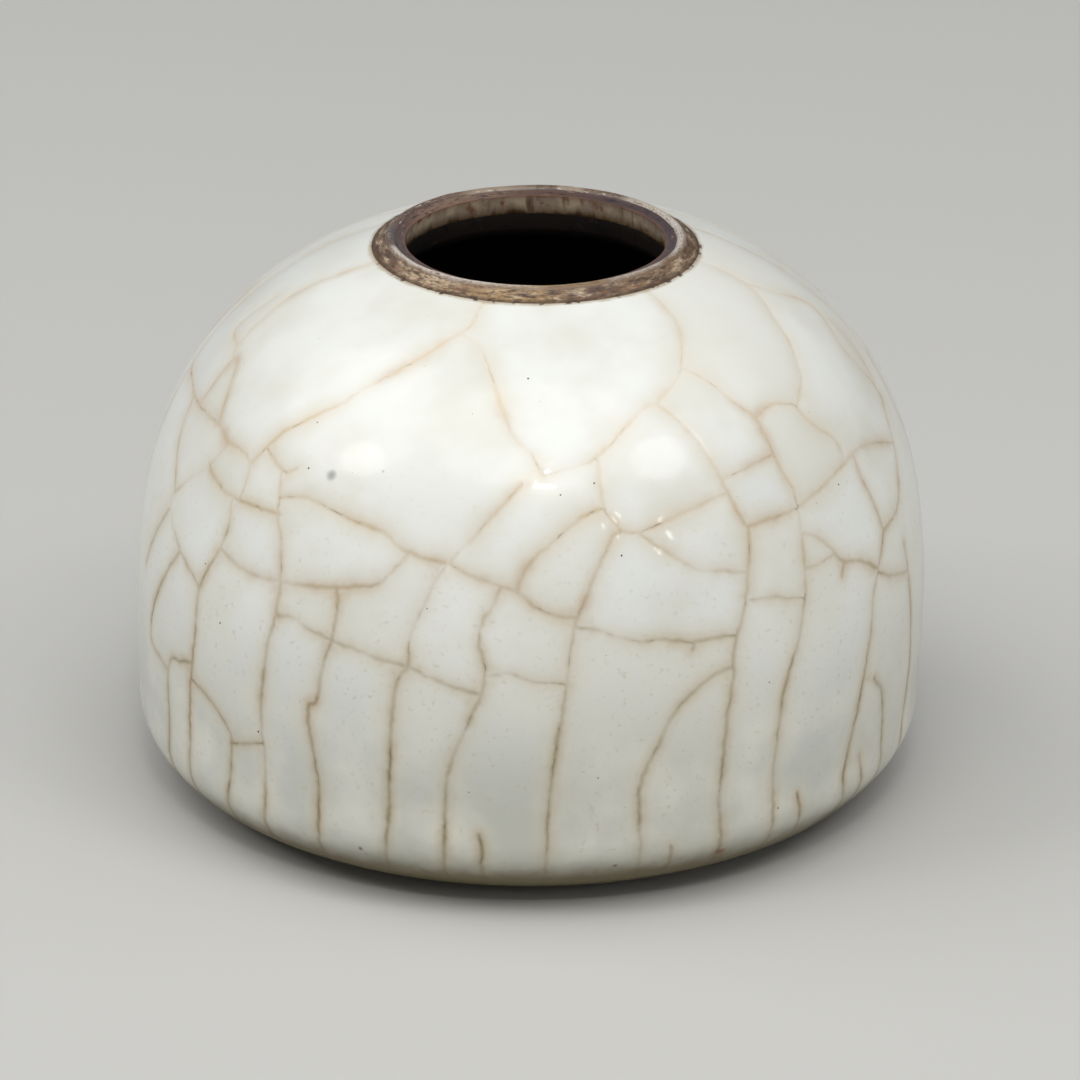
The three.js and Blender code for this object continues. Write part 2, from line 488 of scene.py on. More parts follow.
@dataclass
class TurnedCoat:
    """A coat or the clay, turned from its closed section by Geometry Nodes."""

    name: str
    section: Array
    stance: Stance
    wobble: float = 0.45
    wobble_size: float = 9.0
    still_below: float = 65.8
    ring_depth: float = 0.0
    ring_spacing: float = 3.0
    facets: int = TURNED_FACETS

    TREE = "turned_from_a_section"
    LENGTHS = ("wobble", "wobble_size", "still_below", "ring_depth", "ring_spacing")

    @classmethod
    def tree(cls) -> Tree:
        """Builds the node tree once: it turns a row of points, whose Y is their shift, round the axis.

        Returns:
            The tree, whose inputs are the sizes that a coat sets.
        """
        made = bpy.data.node_groups.get(cls.TREE)
        if made:
            return made
        kinds = {"section": "Geometry", "facets": "Int", **dict.fromkeys(cls.LENGTHS, "Float")}
        tree, given = new_tree(cls.TREE, {**kinds, "material": "Material"})
        new = partial(add, tree)
        rows = new("GeometryNodeAttributeDomainSize", {"Geometry": given["section"]})
        columns = new(MATH, (given["facets"], 1.0), **PLUS)
        grid = new("GeometryNodeMeshGrid", {"Vertices X": columns, "Vertices Y": rows})
        index = new("GeometryNodeInputIndex")
        column = new(MATH, (new(MATH, (index, rows), **OVER),), operation="FLOOR")
        row = new(MATH, (index, new(MATH, (column, rows), **TIMES)), **MINUS)
        sampled = {"Geometry": given["section"], "Value": new("GeometryNodeInputPosition"), "Index": row}
        spot = new("GeometryNodeSampleIndex", sampled, data_type="FLOAT_VECTOR", domain="POINT")
        radius, shift, height = new(SPLIT_XYZ, (spot,)).node.outputs
        turn = new(MATH, (column, given["facets"]), **OVER)
        angle = new(MATH, (turn, FULL_TURN), **TIMES)
        sine = new(MATH, (angle,), operation="SINE")
        cosine = new(MATH, (angle,), operation="COSINE")

        # Rings that the potter's fingers leave
        along = new(MATH, (radius, height), **PLUS)
        steps = new(MATH, (along, given["ring_spacing"]), **OVER)
        wave = new(MATH, (new(MATH, (steps, FULL_TURN), **TIMES),), operation="SINE")
        rings = new(MATH, (wave, given["ring_depth"]), **TIMES)

        # The rim rises and falls a little, and everything below a height is still
        x_even = new(MATH, (radius, sine), **TIMES)
        y_even = new(MATH, (radius, cosine), **TIMES)
        even = new(XYZ, (x_even, y_even, height))
        frequency = new(MATH, (1.0, given["wobble_size"]), **OVER)
        waver = new(NOISE, {"Vector": even, "Scale": frequency, "Detail": 2.0})
        wobble = new(MATH, (new(MATH, (waver, 0.5), **MINUS), given["wobble"]), **TIMES)
        over = new(MATH, (height, given["still_below"]), **MINUS)
        clamped = new("ShaderNodeClamp", (new(MATH, (over, MM), **OVER),))
        swing = new(MATH, (wobble, clamped), **TIMES)
        high = new(MATH, (new(MATH, (height, rings), **PLUS), swing), **PLUS)

        x = new(MATH, (x_even, shift), **PLUS)
        y = new(MATH, (y_even, -1.0), **TIMES)
        place = new(XYZ, (x, y, high))
        moved = new("GeometryNodeSetPosition", {"Geometry": grid, "Position": place})
        closed = new("GeometryNodeMergeByDistance", {"Geometry": moved, "Distance": 2e-7})
        return end_tree(tree, closed, given["material"])

    def build(self, material: Material) -> Piece:
        """Turns the section into a plain mesh piece.

        Args:
            material: the finish that it wears.

        Returns:
            The finished piece.
        """
        radius, height = self.section.T
        points = np.column_stack([radius, self.stance.shift(height), height]) * MM
        row = bpy.data.meshes.new(self.name + "_section")
        row.from_pydata(points.tolist(), [(i, i + 1) for i in range(len(points) - 1)], [])
        values = {label: getattr(self, label) * MM for label in self.LENGTHS}
        mesh = evaluate_tree(row, self.tree(), {**values, "facets": self.facets, "material": material})
        point_outwards(mesh)
        mesh.set_sharp_from_angle(angle=SHARP_ANGLE)
        return new_object(self.name, mesh)


def evaluate_tree(mesh: Mesh, tree: Tree, values: dict) -> Mesh:
    """Runs a geometry tree on a mesh.

    Args:
        mesh: what the tree's first input gets.
        tree: the tree.
        values: the tree's other inputs by name.

    Returns:
        The result as a plain mesh.
    """
    holder = new_object(tree.name + "_holder", mesh)
    modifier = holder.modifiers.new("tree", "NODES")
    modifier.node_group = tree
    for item in tree.interface.items_tree:
        if item.in_out == "INPUT" and item.name in values:
            modifier[item.identifier] = values[item.name]
    bpy.context.view_layer.update()
    evaluated = holder.evaluated_get(bpy.context.evaluated_depsgraph_get())
    made = bpy.data.meshes.new_from_object(evaluated)
    bpy.data.objects.remove(holder)
    return made


def point_outwards(mesh: Mesh) -> None:
    """Drops the faces without area from a closed mesh, and turns the others outwards.

    Args:
        mesh: the mesh, changed in place.
    """
    work = bmesh.new()
    work.from_mesh(mesh)
    bmesh.ops.dissolve_degenerate(work, dist=1e-9, edges=work.edges)
    bmesh.ops.recalc_face_normals(work, faces=work.faces)
    if work.calc_volume(signed=True) < 0:
        bmesh.ops.reverse_faces(work, faces=work.faces)
    work.to_mesh(mesh)
    work.free()


def new_object(name: str, data: bpy.types.ID) -> Piece:
    """Puts a mesh, a lamp or a camera in the scene under a name.

    Args:
        name: its name.
        data: the mesh, lamp or camera.

    Returns:
        The object.
    """
    data.name = name
    made = bpy.data.objects.new(name, data)
    bpy.context.scene.collection.objects.link(made)
    return made


# The crackle


class Skin:
    """The outside of the pot unrolled: azimuth across, and a rise that keeps every angle true."""

    def __init__(self, face: Array, stance: Stance) -> None:
        """Measures the section from its bottom to its top.

        Args:
            face: radius and height, in millimetres, from the top to the bottom.
            stance: the pot's lean.
        """
        points = face[::-1]
        steps = np.linalg.norm(np.diff(points, axis=0), axis=1)
        middle = (points[1:, 0] + points[:-1, 0]) / 2
        self.radii, self.heights = points[:, 0], points[:, 1]
        self.arcs = np.r_[0, np.cumsum(steps)]
        self.rises = np.r_[0, np.cumsum(steps / middle)]
        self.top = self.rises[-1]
        self.stance = stance
        way = np.gradient(points, axis=0)
        way /= np.linalg.norm(way, axis=1)[:, None]
        self.outs = np.column_stack([way[:, 1], -way[:, 0]])

    def radius(self, rise: Array) -> Array:
        """Radius at a rise."""
        return np.interp(rise, self.rises, self.radii)

    def height(self, rise: Array) -> Array:
        """Height over the table at a rise."""
        return np.interp(rise, self.rises, self.heights)

    def arc(self, rise: Array) -> Array:
        """Length along the surface from the lower edge to a rise."""
        return np.interp(rise, self.rises, self.arcs)

    def rise_at(self, height: float) -> float:
        """Rise at a height over the table."""
        return float(np.interp(height, self.heights, self.rises))

    def place(self, spots: Array, out: Array | float = 0.0) -> Array:
        """Rolls spots up again.

        Args:
            spots: azimuth and rise of each spot.
            out: how far each is moved off the surface.

        Returns:
            X, Y and Z in millimetres.
        """
        azimuth, rise = spots[:, 0], spots[:, 1]
        out_r = np.interp(rise, self.rises, self.outs[:, 0])
        out_z = np.interp(rise, self.rises, self.outs[:, 1])
        radius = self.radius(rise) + out * out_r
        height = self.height(rise)
        x = radius * np.sin(azimuth) + self.stance.shift(height)
        return np.column_stack([x, -radius * np.cos(azimuth), height + out * out_z])


@dataclass(frozen=True)
class MatchedCamera:
    """The photograph's camera, worked out from the pot's outline and the ellipses of its mouth."""

    elevation: float = 22.83
    roll: float = 0.381
    distance: float = 750.0
    aim_height: float = 28.0
    aim_pixel: tuple[float, float] = (530.275, 541.07)
    pixels: float = 1080.0
    pixels_per_mm: float = 8.311
    sensor: float = 36.0
    search: float = 70.0
    search_step: float = 0.2
    nearest: float = 0.05
    farthest: float = 20.0

    @property
    def focal_pixels(self) -> float:
        """Focal length in pixels of the photograph."""
        return self.pixels_per_mm * self.distance

    def axes(self) -> tuple[Array, Array, Array]:
        """The camera's own right, up and back.

        Returns:
            Three unit vectors.
        """
        e, r = math.radians(self.elevation), math.radians(self.roll)
        right, up = np.array([1.0, 0, 0]), np.array([0, math.sin(e), math.cos(e)])
        back = np.array([0, -math.cos(e), math.sin(e)])
        own_right = right * math.cos(r) + up * math.sin(r)
        return own_right, up * math.cos(r) - right * math.sin(r), back

    def position(self) -> Array:
        """Works out where the camera stands, in millimetres.

        Returns:
            X, Y and Z.
        """
        right, up, back = self.axes()
        aside = (self.pixels / 2 - self.aim_pixel[0]) / self.pixels_per_mm
        above = (self.aim_pixel[1] - self.pixels / 2) / self.pixels_per_mm
        return np.array([0, 0, self.aim_height]) + back * self.distance + right * aside + up * above

    def spot(self, pixel: tuple[float, float], skin: Skin) -> tuple[float, float]:
        """Finds the azimuth and rise of the skin under a pixel of the photograph.

        Args:
            pixel: in the 1080 by 1080 picture.
            skin: the surface to meet.

        Returns:
            Azimuth in radians and rise.
        """
        right, up, back = self.axes()
        half = self.pixels / 2
        ray = (pixel[0] - half) * right - (pixel[1] - half) * up - self.focal_pixels * back
        ray /= np.linalg.norm(ray)
        reach = np.arange(self.distance - self.search, self.distance + self.search, self.search_step)[:, None]
        points = self.position() + reach * ray
        height = points[:, 2]
        across = points[:, 0] - skin.stance.shift(height)
        inside = np.interp(height, skin.heights, skin.radii) - np.hypot(across, points[:, 1])
        inside[(height < 0) | (height > skin.heights[-1])] = -np.inf
        first = int(np.argmax(inside > 0)) if (inside > 0).any() else int(np.argmax(inside))
        azimuth = math.atan2(across[first], -points[first, 1])
        return azimuth, skin.rise_at(height[first])

    def create(self) -> None:
        """Makes the camera and hands it to the scene."""
        data = bpy.data.cameras.new("photo_camera")
        data.sensor_width = self.sensor
        data.lens = self.sensor * self.focal_pixels / self.pixels
        data.clip_start, data.clip_end = self.nearest, self.farthest
        camera = new_object(data.name, data)
        right, up, back = self.axes()
        where = Vector(self.position()) * MM
        turned = Matrix([Vector(axis) for axis in (right, up, back)]).transposed().to_4x4()
        camera.matrix_world = Matrix.Translation(where) @ turned
        bpy.context.scene.camera = camera


# Cracks of the front, read off the photograph, in its pixels. Long ones come first in each part.
LEFT_SHOULDER_CRACKS = (
    ((480, 308), (463, 331), (350, 398), (283, 432)),
    ((363, 266), (299, 291), (237, 346), (237, 366), (219, 424)),
    ((193, 380), (196, 398), (219, 425), (230, 442), (244, 451), (251, 464), (244, 490), (237, 499)),
    ((191, 400), (182, 425), (176, 460), (175, 488), (170, 505), (181, 550), (200, 587)),
    ((278, 295), (239, 325), (237, 346)),
    ((232, 361), (205, 398)),
    ((284, 432), (253, 462)),
    ((230, 442), (209, 465), (175, 490)),
    ((209, 465), (219, 483), (232, 499), (280, 514)),
    ((269, 447), (285, 471), (299, 468)),
)
CROWN_CRACKS = (
    ((463, 331), (486, 357), (510, 429), (531, 454), (543, 475)),
    ((657, 300), (675, 323), (681, 346), (679, 367), (671, 385), (657, 403), (671, 415), (701, 447),
     (721, 479), (740, 516), (749, 529)),
    ((679, 367), (703, 378), (731, 401), (754, 417), (762, 429), (779, 466), (791, 486), (796, 500),
     (805, 577), (803, 612), (798, 642), (787, 676), (780, 711), (773, 773), (773, 807), (769, 835)),
    ((657, 403), (641, 410), (597, 456), (579, 465), (543, 475)),
    ((771, 455), (721, 479)),
    ((728, 497), (717, 497), (643, 530), (620, 531)),
    ((597, 458), (604, 507), (616, 523), (620, 531)),
    ((522, 484), (448, 563)),
)
RIGHT_SHOULDER_CRACKS = (
    ((703, 262), (746, 284), (775, 319), (789, 341), (801, 378), (797, 408)),
    ((746, 284), (801, 300), (818, 311), (844, 349), (879, 392), (885, 411), (899, 497), (884, 531)),
    ((830, 319), (867, 351), (879, 374), (881, 392)),
    ((797, 407), (813, 423), (834, 439), (846, 462)),
    ((754, 417), (771, 405), (787, 403), (797, 405)),
    ((890, 443), (877, 442), (860, 449), (832, 478), (800, 505), (749, 527)),
    ((856, 458), (862, 478), (873, 500), (884, 531)),
)
RIGHT_WALL_CRACKS = (
    ((749, 529), (747, 596), (736, 649), (733, 685), (726, 727), (719, 796), (720, 841)),
    ((884, 531), (874, 593), (871, 630), (845, 768), (842, 802)),
    ((904, 543), (911, 612), (908, 681), (902, 727)),
    ((734, 667), (716, 674), (697, 690), (674, 713), (661, 738), (640, 791), (638, 870)),
    ((798, 534), (814, 537), (828, 545), (842, 560), (858, 559), (878, 566)),
    ((874, 678), (883, 699), (881, 761)),
    ((643, 542), (694, 567), (721, 571), (747, 572)),
    ((835, 553), (821, 564), (808, 568)),
    ((843, 560), (841, 575)),
    ((879, 573), (895, 577), (905, 574)),
    ((747, 598), (769, 597), (802, 599)),
    ((860, 754), (862, 779)),
    ((797, 793), (797, 825)),
    ((671, 846), (669, 864)),
)
FRONT_WALL_CRACKS = (
    ((280, 497), (304, 497), (317, 501), (340, 514), (384, 532), (396, 544), (409, 551), (428, 559),
     (447, 563), (469, 575), (517, 592), (538, 610), (561, 616), (577, 617)),
    ((285, 471), (284, 497), (281, 510), (283, 541), (280, 578), (276, 615), (267, 647), (261, 713),
     (265, 753), (265, 798), (267, 826)),
    ((620, 531), (609, 543), (579, 615), (569, 666), (555, 758), (549, 804), (545, 873)),
    ((447, 564), (430, 591), (410, 640), (407, 666), (394, 696), (388, 821), (388, 866)),
    ((499, 587), (492, 605), (483, 621), (479, 643), (485, 673), (479, 700), (449, 770), (444, 850),
     (445, 870)),
    ((278, 615), (294, 618), (311, 630), (373, 657), (406, 667), (452, 686), (479, 693)),
    ((331, 640), (324, 658), (320, 684), (315, 702), (308, 710), (319, 787), (322, 847)),
    ((604, 507), (584, 516), (565, 530), (547, 548), (533, 559), (522, 578), (518, 592)),
    ((409, 552), (396, 567), (370, 585), (308, 585), (258, 576), (237, 564), (221, 548)),
    ((336, 585), (337, 603), (331, 638)),
    ((485, 675), (509, 674), (534, 681), (565, 683)),
    ((579, 627), (600, 629), (620, 637), (643, 642), (664, 640), (692, 642), (710, 638), (737, 635)),
    ((693, 642), (695, 633)),
    ((479, 835), (482, 850), (482, 868)),
)
LEFT_WALL_CRACKS = (
    ((230, 500), (228, 528), (221, 548), (207, 576), (199, 603), (195, 638), (190, 718), (192, 780)),
    ((177, 553), (164, 576), (154, 603), (150, 629), (153, 647), (168, 670)),
    ((193, 681), (212, 702), (226, 725), (232, 741), (230, 775), (231, 810)),
    ((191, 662), (180, 661), (170, 668), (169, 753)),
    ((232, 743), (265, 743)),
    ((166, 511), (154, 534), (145, 564)),
)
FRONT_CRACKS = (
    *CROWN_CRACKS,
    *LEFT_SHOULDER_CRACKS,
    *RIGHT_SHOULDER_CRACKS,
    *FRONT_WALL_CRACKS,
    *RIGHT_WALL_CRACKS,
    *LEFT_WALL_CRACKS,
)


@dataclass
class CrackNet:
    """The net of cracks in the glaze, as lines of azimuth and rise with a stain for each point.

    The front is read off the photograph. The back, which it doesn't show, is the front's net turned half
    round the pot, fitted between the side cracks and pulled about.
    """

    skin: Skin
    camera: MatchedCamera
    step: float = 0.4
    wander: float = 0.2
    wander_length: float = 3.4
    jag: float = 0.15
    jag_length: float = 0.85
    calm_length: float = 2.5
    side_points: int = 9
    side_azimuth: float = math.radians(88)
    side_spread: float = math.radians(26)
    side_bend: float = 0.6
    side_power: float = 1.5
    side_swing: float = math.radians(1.3)
    side_strength: float = 0.7
    strengths_between: tuple[float, float] = (0.75, 1.1)
    bottom_step: float = 0.6
    top_step: float = 0.5
    snap: float = 1.6
    pull_spread: float = 2.5
    near: float = 4.0
    reach: float = 9.0
    foot_near: float = 8.0
    foot_reach: float = 17.0
    top_reach: float = 4.5
    upright: float = 0.8
    ahead: float = 0.6
    look_ahead: float = 14.0
    joined_share: float = 0.02
    touch: float = 0.05
    side_gap: float = 0.02
    side_margin: float = 0.35
    edge_margin: float = 0.2
    pull_about: float = 0.1
    pull_size: float = 0.7
    shortest_behind: float = 9.0
    crowd: float = 1.6
    crowded_share: float = 0.5
    stain_heights: tuple[float, ...] = (2, 14, 24, 36, 48, 56, 64)
    stain_levels: tuple[float, ...] = (0.75, 1.0, 1.05, 0.86, 0.8, 0.66, 0.42)
    patch_length: float = 7.0
    fleck_length: float = 1.6
    patchiness: float = 0.8
    faintest: float = 0.15
    seed: int = 11

    def __post_init__(self) -> None:
        """Draws the two side cracks, then the cracks of the front and those of the back."""
        self.random = np.random.default_rng(self.seed)
        self.left = self._side(-1)
        self.right = self._side(1)
        self.bottom_row = self._edge_row(0.0, self.bottom_step)
        self.top_row = self._edge_row(self.skin.top, self.top_step)
        for row, end in ((self.bottom_row, 0), (self.top_row, -1)):
            self.right[end] = self._nearest_in_row(row, self.right[end, 0])
        self.lines = [self.left, self.right]
        self.strengths = [self.side_strength] * 2
        strokes = [np.array([self.camera.spot(p, self.skin) for p in stroke]) for stroke in FRONT_CRACKS]
        self._lay_half(strokes, (self.left, self.right), 0.0)
        long = [stroke for stroke in strokes if self._lengths(stroke)[-1] > self.shortest_behind]
        turned = [self._turn_round(stroke) for stroke in long]
        first = len(self.lines)
        self._lay_half(turned, (self.right, self.left + [FULL_TURN, 0]), self.crowd)
        self._join_ends(first)
        length = sum(self._lengths(line)[-1] for line in self.lines)
        LOG.info("crack net: %d lines, %.0f mm of crack", len(self.lines), length)

    def _lengths(self, line: Array) -> Array:
        """Real length along a line up to each of its points."""
        gaps = np.linalg.norm(np.diff(self.skin.place(line), axis=0), axis=1)
        return np.r_[0, np.cumsum(gaps)]

    def _gaps(self, line: Array, spot: Array) -> Array:
        """Real distance from each point of a line to a spot."""
        return np.linalg.norm(self.skin.place(line) - self.skin.place(spot[None]), axis=1)

    def _smooth(self, line: Array) -> Array:
        """A smooth line through a few points, with a point every step.

        Args:
            line: azimuth and rise of its points.

        Returns:
            Azimuth and rise of its points.
        """
        points = np.vstack([2 * line[0] - line[1], line, 2 * line[-1] - line[-2]])
        made = []
        for i, length in enumerate(np.diff(self._lengths(line))):
            p0, p1, p2, p3 = points[i : i + 4]
            share = np.linspace(0, 1, max(2, round(length / self.step) + 1))[:-1, None]
            bend, twist = 2 * p0 - 5 * p1 + 4 * p2 - p3, 3 * p1 - p0 - 3 * p2 + p3
            made.append(0.5 * (2 * p1 + (p2 - p0) * share + bend * share**2 + twist * share**3))
        return np.vstack([*made, line[-1:]])

    def _waver(self, line: Array) -> Array:
        """Lets a smooth line waver as a crack does, but not at its ends.

        Args:
            line: azimuth and rise of its points.

        Returns:
            The wavering line.
        """
        lengths = self._lengths(line)
        tag = self.random.uniform(0, 1000)
        slow = noise_along(lengths, self.wander_length, tag, 0) * self.wander
        quick = noise_along(lengths, self.jag_length, tag, 5) * self.jag
        ends = np.clip(np.minimum(lengths, lengths[-1] - lengths) / self.calm_length, 0, 1)
        aside = (slow + quick) * ends / self.skin.radius(line[:, 1])
        return line + leftwards(line) * aside[:, None]

    def inside(self, spots: Array, from_sides: float, from_edges: float) -> Array:
        """Finds the spots that lie well inside the unrolled skin.

        Args:
            spots: azimuth and rise of each.
            from_sides: how far inside its two sides they have to be.
            from_edges: how far inside its upper and lower edge.

        Returns:
            True or false for each spot.
        """
        radius = self.skin.radius(spots[:, 1])
        off = (spots[:, 0] - self._across(self.left, spots[:, 1])) * radius
        low, high = spots[:, 1] * radius, (self.skin.top - spots[:, 1]) * radius
        between = (off > from_sides) & (off < FULL_TURN * radius - from_sides)
        return between & (low > from_edges) & (high > from_edges)

    def _off_borders(self, line: Array) -> Array:
        """Leaves out inner points that lie on or beyond the unrolled skin's borders.

        Args:
            line: azimuth and rise of its points.

        Returns:
            The line without them.
        """
        keep = self.inside(line, self.side_margin, self.edge_margin)
        keep[[0, -1]] = True
        return line[keep]

    def _side(self, sign: int) -> Array:
        """A long crack near the left or right outline, from the foot to the collar.

        Args:
            sign: -1 for the left and 1 for the right.

        Returns:
            Azimuth and rise of its points.
        """
        rise = np.linspace(0, self.skin.top, self.side_points)
        share = np.clip(rise / self.skin.top * (1 + self.side_bend) - self.side_bend, 0, 1)
        azimuth = self.side_azimuth + self.side_spread * share**self.side_power
        azimuth[1:-1] += self.random.normal(0, self.side_swing, len(rise) - 2)
        return self._waver(self._smooth(np.column_stack([sign * azimuth, rise])))

    def _edge_row(self, rise: float, spacing: float) -> Array:
        """Points along the upper or lower edge of the glaze, once round from the left side crack.

        Args:
            rise: the edge's rise.
            spacing: how far apart the points are, in millimetres.

        Returns:
            Azimuth and rise of its points.
        """
        count = round(FULL_TURN * float(self.skin.radius(rise)) / spacing)
        azimuth = float(self._across(self.left, rise)) + FULL_TURN * np.arange(count + 1) / count
        return np.column_stack([azimuth, np.full(count + 1, rise)])

    def _nearest_in_row(self, row: Array, azimuth: float) -> Array:
        """The point of an edge row that is nearest to an azimuth."""
        return row[int(np.argmin(np.abs(row[:, 0] - azimuth)))]

    @staticmethod
    def _across(line: Array, rise: Array | float) -> Array:
        """Azimuth of an upright line at a rise."""
        return np.interp(rise, line[:, 1], line[:, 0])

    def _turn_round(self, stroke: Array) -> Array:
        """Turns a crack of the front to the back, and pulls it about.

        Args:
            stroke: azimuth and rise of its points.

        Returns:
            The crack at the back.
        """
        azimuth, rise = stroke.T
        left, right = self._across(self.left, rise), self._across(self.right, rise)
        share = (azimuth - left) / (right - left)
        turned = right + share * (left + FULL_TURN - right)
        spots = [Vector((a, r, 0)) / self.pull_size for a, r in zip(turned, rise)]
        across, up = (
            np.array([noise.noise(spot + Vector((0, 0, layer))) for spot in spots]) * self.pull_about
            for layer in (0.5, 7.5)
        )
        return np.column_stack([turned + across, np.clip(rise + up, 0, self.skin.top)])

    def _pull(self, line: Array, at: int, target: Array) -> Array:
        """Moves one point of a line onto a target, and its neighbours part of the way.

        Args:
            line: azimuth and rise of its points.
            at: number of the point that moves.
            target: where it goes.

        Returns:
            The moved line.
        """
        lengths = self._lengths(line)
        share = np.exp(-0.5 * ((lengths - lengths[at]) / self.pull_spread) ** 2)
        return line + share[:, None] * (target - line[at])

    def _crowded(self, line: Array, known: Array, crowd: float) -> bool:
        """Tells whether a line runs close beside others for much of its way."""
        gaps = self.skin.place(line[::3])[:, None] - self.skin.place(known[::2])
        return (np.linalg.norm(gaps, axis=2).min(axis=1) < crowd).mean() > self.crowded_share

    def _lay_half(self, strokes: list[Array], sides: tuple[Array, Array], crowd: float) -> None:
        """Lays the cracks between two side cracks, each joined to those that it meets.

        Args:
            strokes: azimuth and rise of a few points of each crack.
            sides: the side crack to the left and the one to the right.
            crowd: a crack that runs this close beside others is left out.
        """
        first = len(self.lines)
        loose: list[Array] = []
        for line in strokes:
            left, right = (self._across(side, line[:, 1]) for side in sides)
            line = line[(line[:, 0] > left + self.side_gap) & (line[:, 0] < right - self.side_gap)]
            if len(line) < 2:
                continue
            line = self._waver(self._smooth(self._reach_edges(line, sides)))
            known = np.vstack([*sides, *self.lines[first:]])
            if crowd and self._crowded(line, known, crowd):
                continue
            ends = []
            for end in (0, -1):
                if min(line[end, 1], self.skin.top - line[end, 1]) < 1e-9:
                    continue
                gaps = self._gaps(known, line[end])
                if gaps.min() < self.snap:
                    line = self._pull(line, end, known[int(np.argmin(gaps))])
                else:
                    ends.append(line[end].copy())
            still_loose = []
            for spot in loose:
                gaps = self._gaps(line, spot)
                at = int(np.argmin(gaps))
                if 2 < at < len(line) - 3 and gaps[at] < self.snap:
                    line = self._pull(line, at, spot)
                else:
                    still_loose.append(spot)
            loose = still_loose + ends
            self.lines.append(self._off_borders(line))
            self.strengths.append(self.random.uniform(*self.strengths_between))

    def _join_ends(self, first: int) -> None:
        """Carries each loose end, from one line onwards, to the crack ahead of it.

        Args:
            first: number of the first line.
        """
        for number in range(first, len(self.lines)):
            for end, inner in ((0, 4), (-1, -5)):
                line = self.lines[number]
                spot = line[end]
                if len(line) < 6 or min(spot[1], self.skin.top - spot[1]) < 1e-6:
                    continue
                others = np.vstack([other for i, other in enumerate(self.lines) if i != number])
                others = np.vstack([others, others + [FULL_TURN, 0], self.top_row, self.bottom_row])
                run = others - spot
                gaps = np.linalg.norm(run, axis=1) + 1e-12
                heading = (spot - line[inner]) / np.linalg.norm(spot - line[inner])
                reach = self.look_ahead / float(self.skin.radius(spot[1]))
                ahead = (run @ heading > self.ahead * gaps) & (gaps < reach)
                if gaps.min() < self.joined_share * reach or not ahead.any():
                    continue
                target = others[ahead][int(np.argmin(gaps[ahead]))]
                more = self._waver(self._smooth(np.array([spot, target])))[1:]
                joined = np.vstack([more[::-1], line]) if end == 0 else np.vstack([line, more])
                self.lines[number] = self._off_borders(joined)

    def _reach_edges(self, line: Array, sides: tuple[Array, Array]) -> Array:
        """Carries a line that heads for the foot, the collar or a side crack close by on to it.

        Args:
            line: azimuth and rise of its points.
            sides: the side crack to the left and the one to the right.

        Returns:
            The line, carried on.
        """
        for end, inner in ((0, 1), (-1, -2)):
            spot, heading = line[end], line[end] - line[inner]
            scale = float(self.skin.radius(spot[1]))
            height = self.skin.height(spot[1])
            to_top = self.skin.arcs[-1] - float(self.skin.arc(spot[1]))
            upright = abs(heading[1]) > self.upright * abs(heading[0])
            if heading[1] < 0 and (height < self.foot_near or (upright and height < self.foot_reach)):
                target = self._nearest_in_row(self.bottom_row, spot[0])
            elif heading[1] > 0 and to_top < self.top_reach:
                target = self._nearest_in_row(self.top_row, spot[0])
            else:
                choices = [side[int(np.argmin(np.abs(side[:, 1] - spot[1])))] for side in sides]
                target = min(choices, key=lambda choice: abs(choice[0] - spot[0]))
                gap = (target[0] - spot[0]) * scale
                aims = heading[0] * gap > self.ahead * abs(heading[1] * gap)
                if abs(gap) > (self.reach if aims else self.near):
                    continue
            if np.linalg.norm(target - spot) * scale < self.touch:
                line[end] = target
            else:
                line = np.vstack([target, line]) if end == 0 else np.vstack([line, target])
        return line

    def stains(self) -> list[Array]:
        """How strongly each point of each line is stained, from 0 to 1: more towards the foot.

        Returns:
            A row of stains for each line.
        """
        made = []
        for line, strength in zip(self.lines, self.strengths):
            base = np.interp(self.skin.height(line[:, 1]), self.stain_heights, self.stain_levels)
            tag, lengths = self.random.uniform(0, 1000), self._lengths(line)
            patchy = noise_along(lengths, self.patch_length, tag, 9)
            patchy += 0.5 * noise_along(lengths, self.fleck_length, tag, 13)
            made.append(np.clip(base * strength * (1.0 + self.patchiness * patchy), self.faintest, 1))
        return made


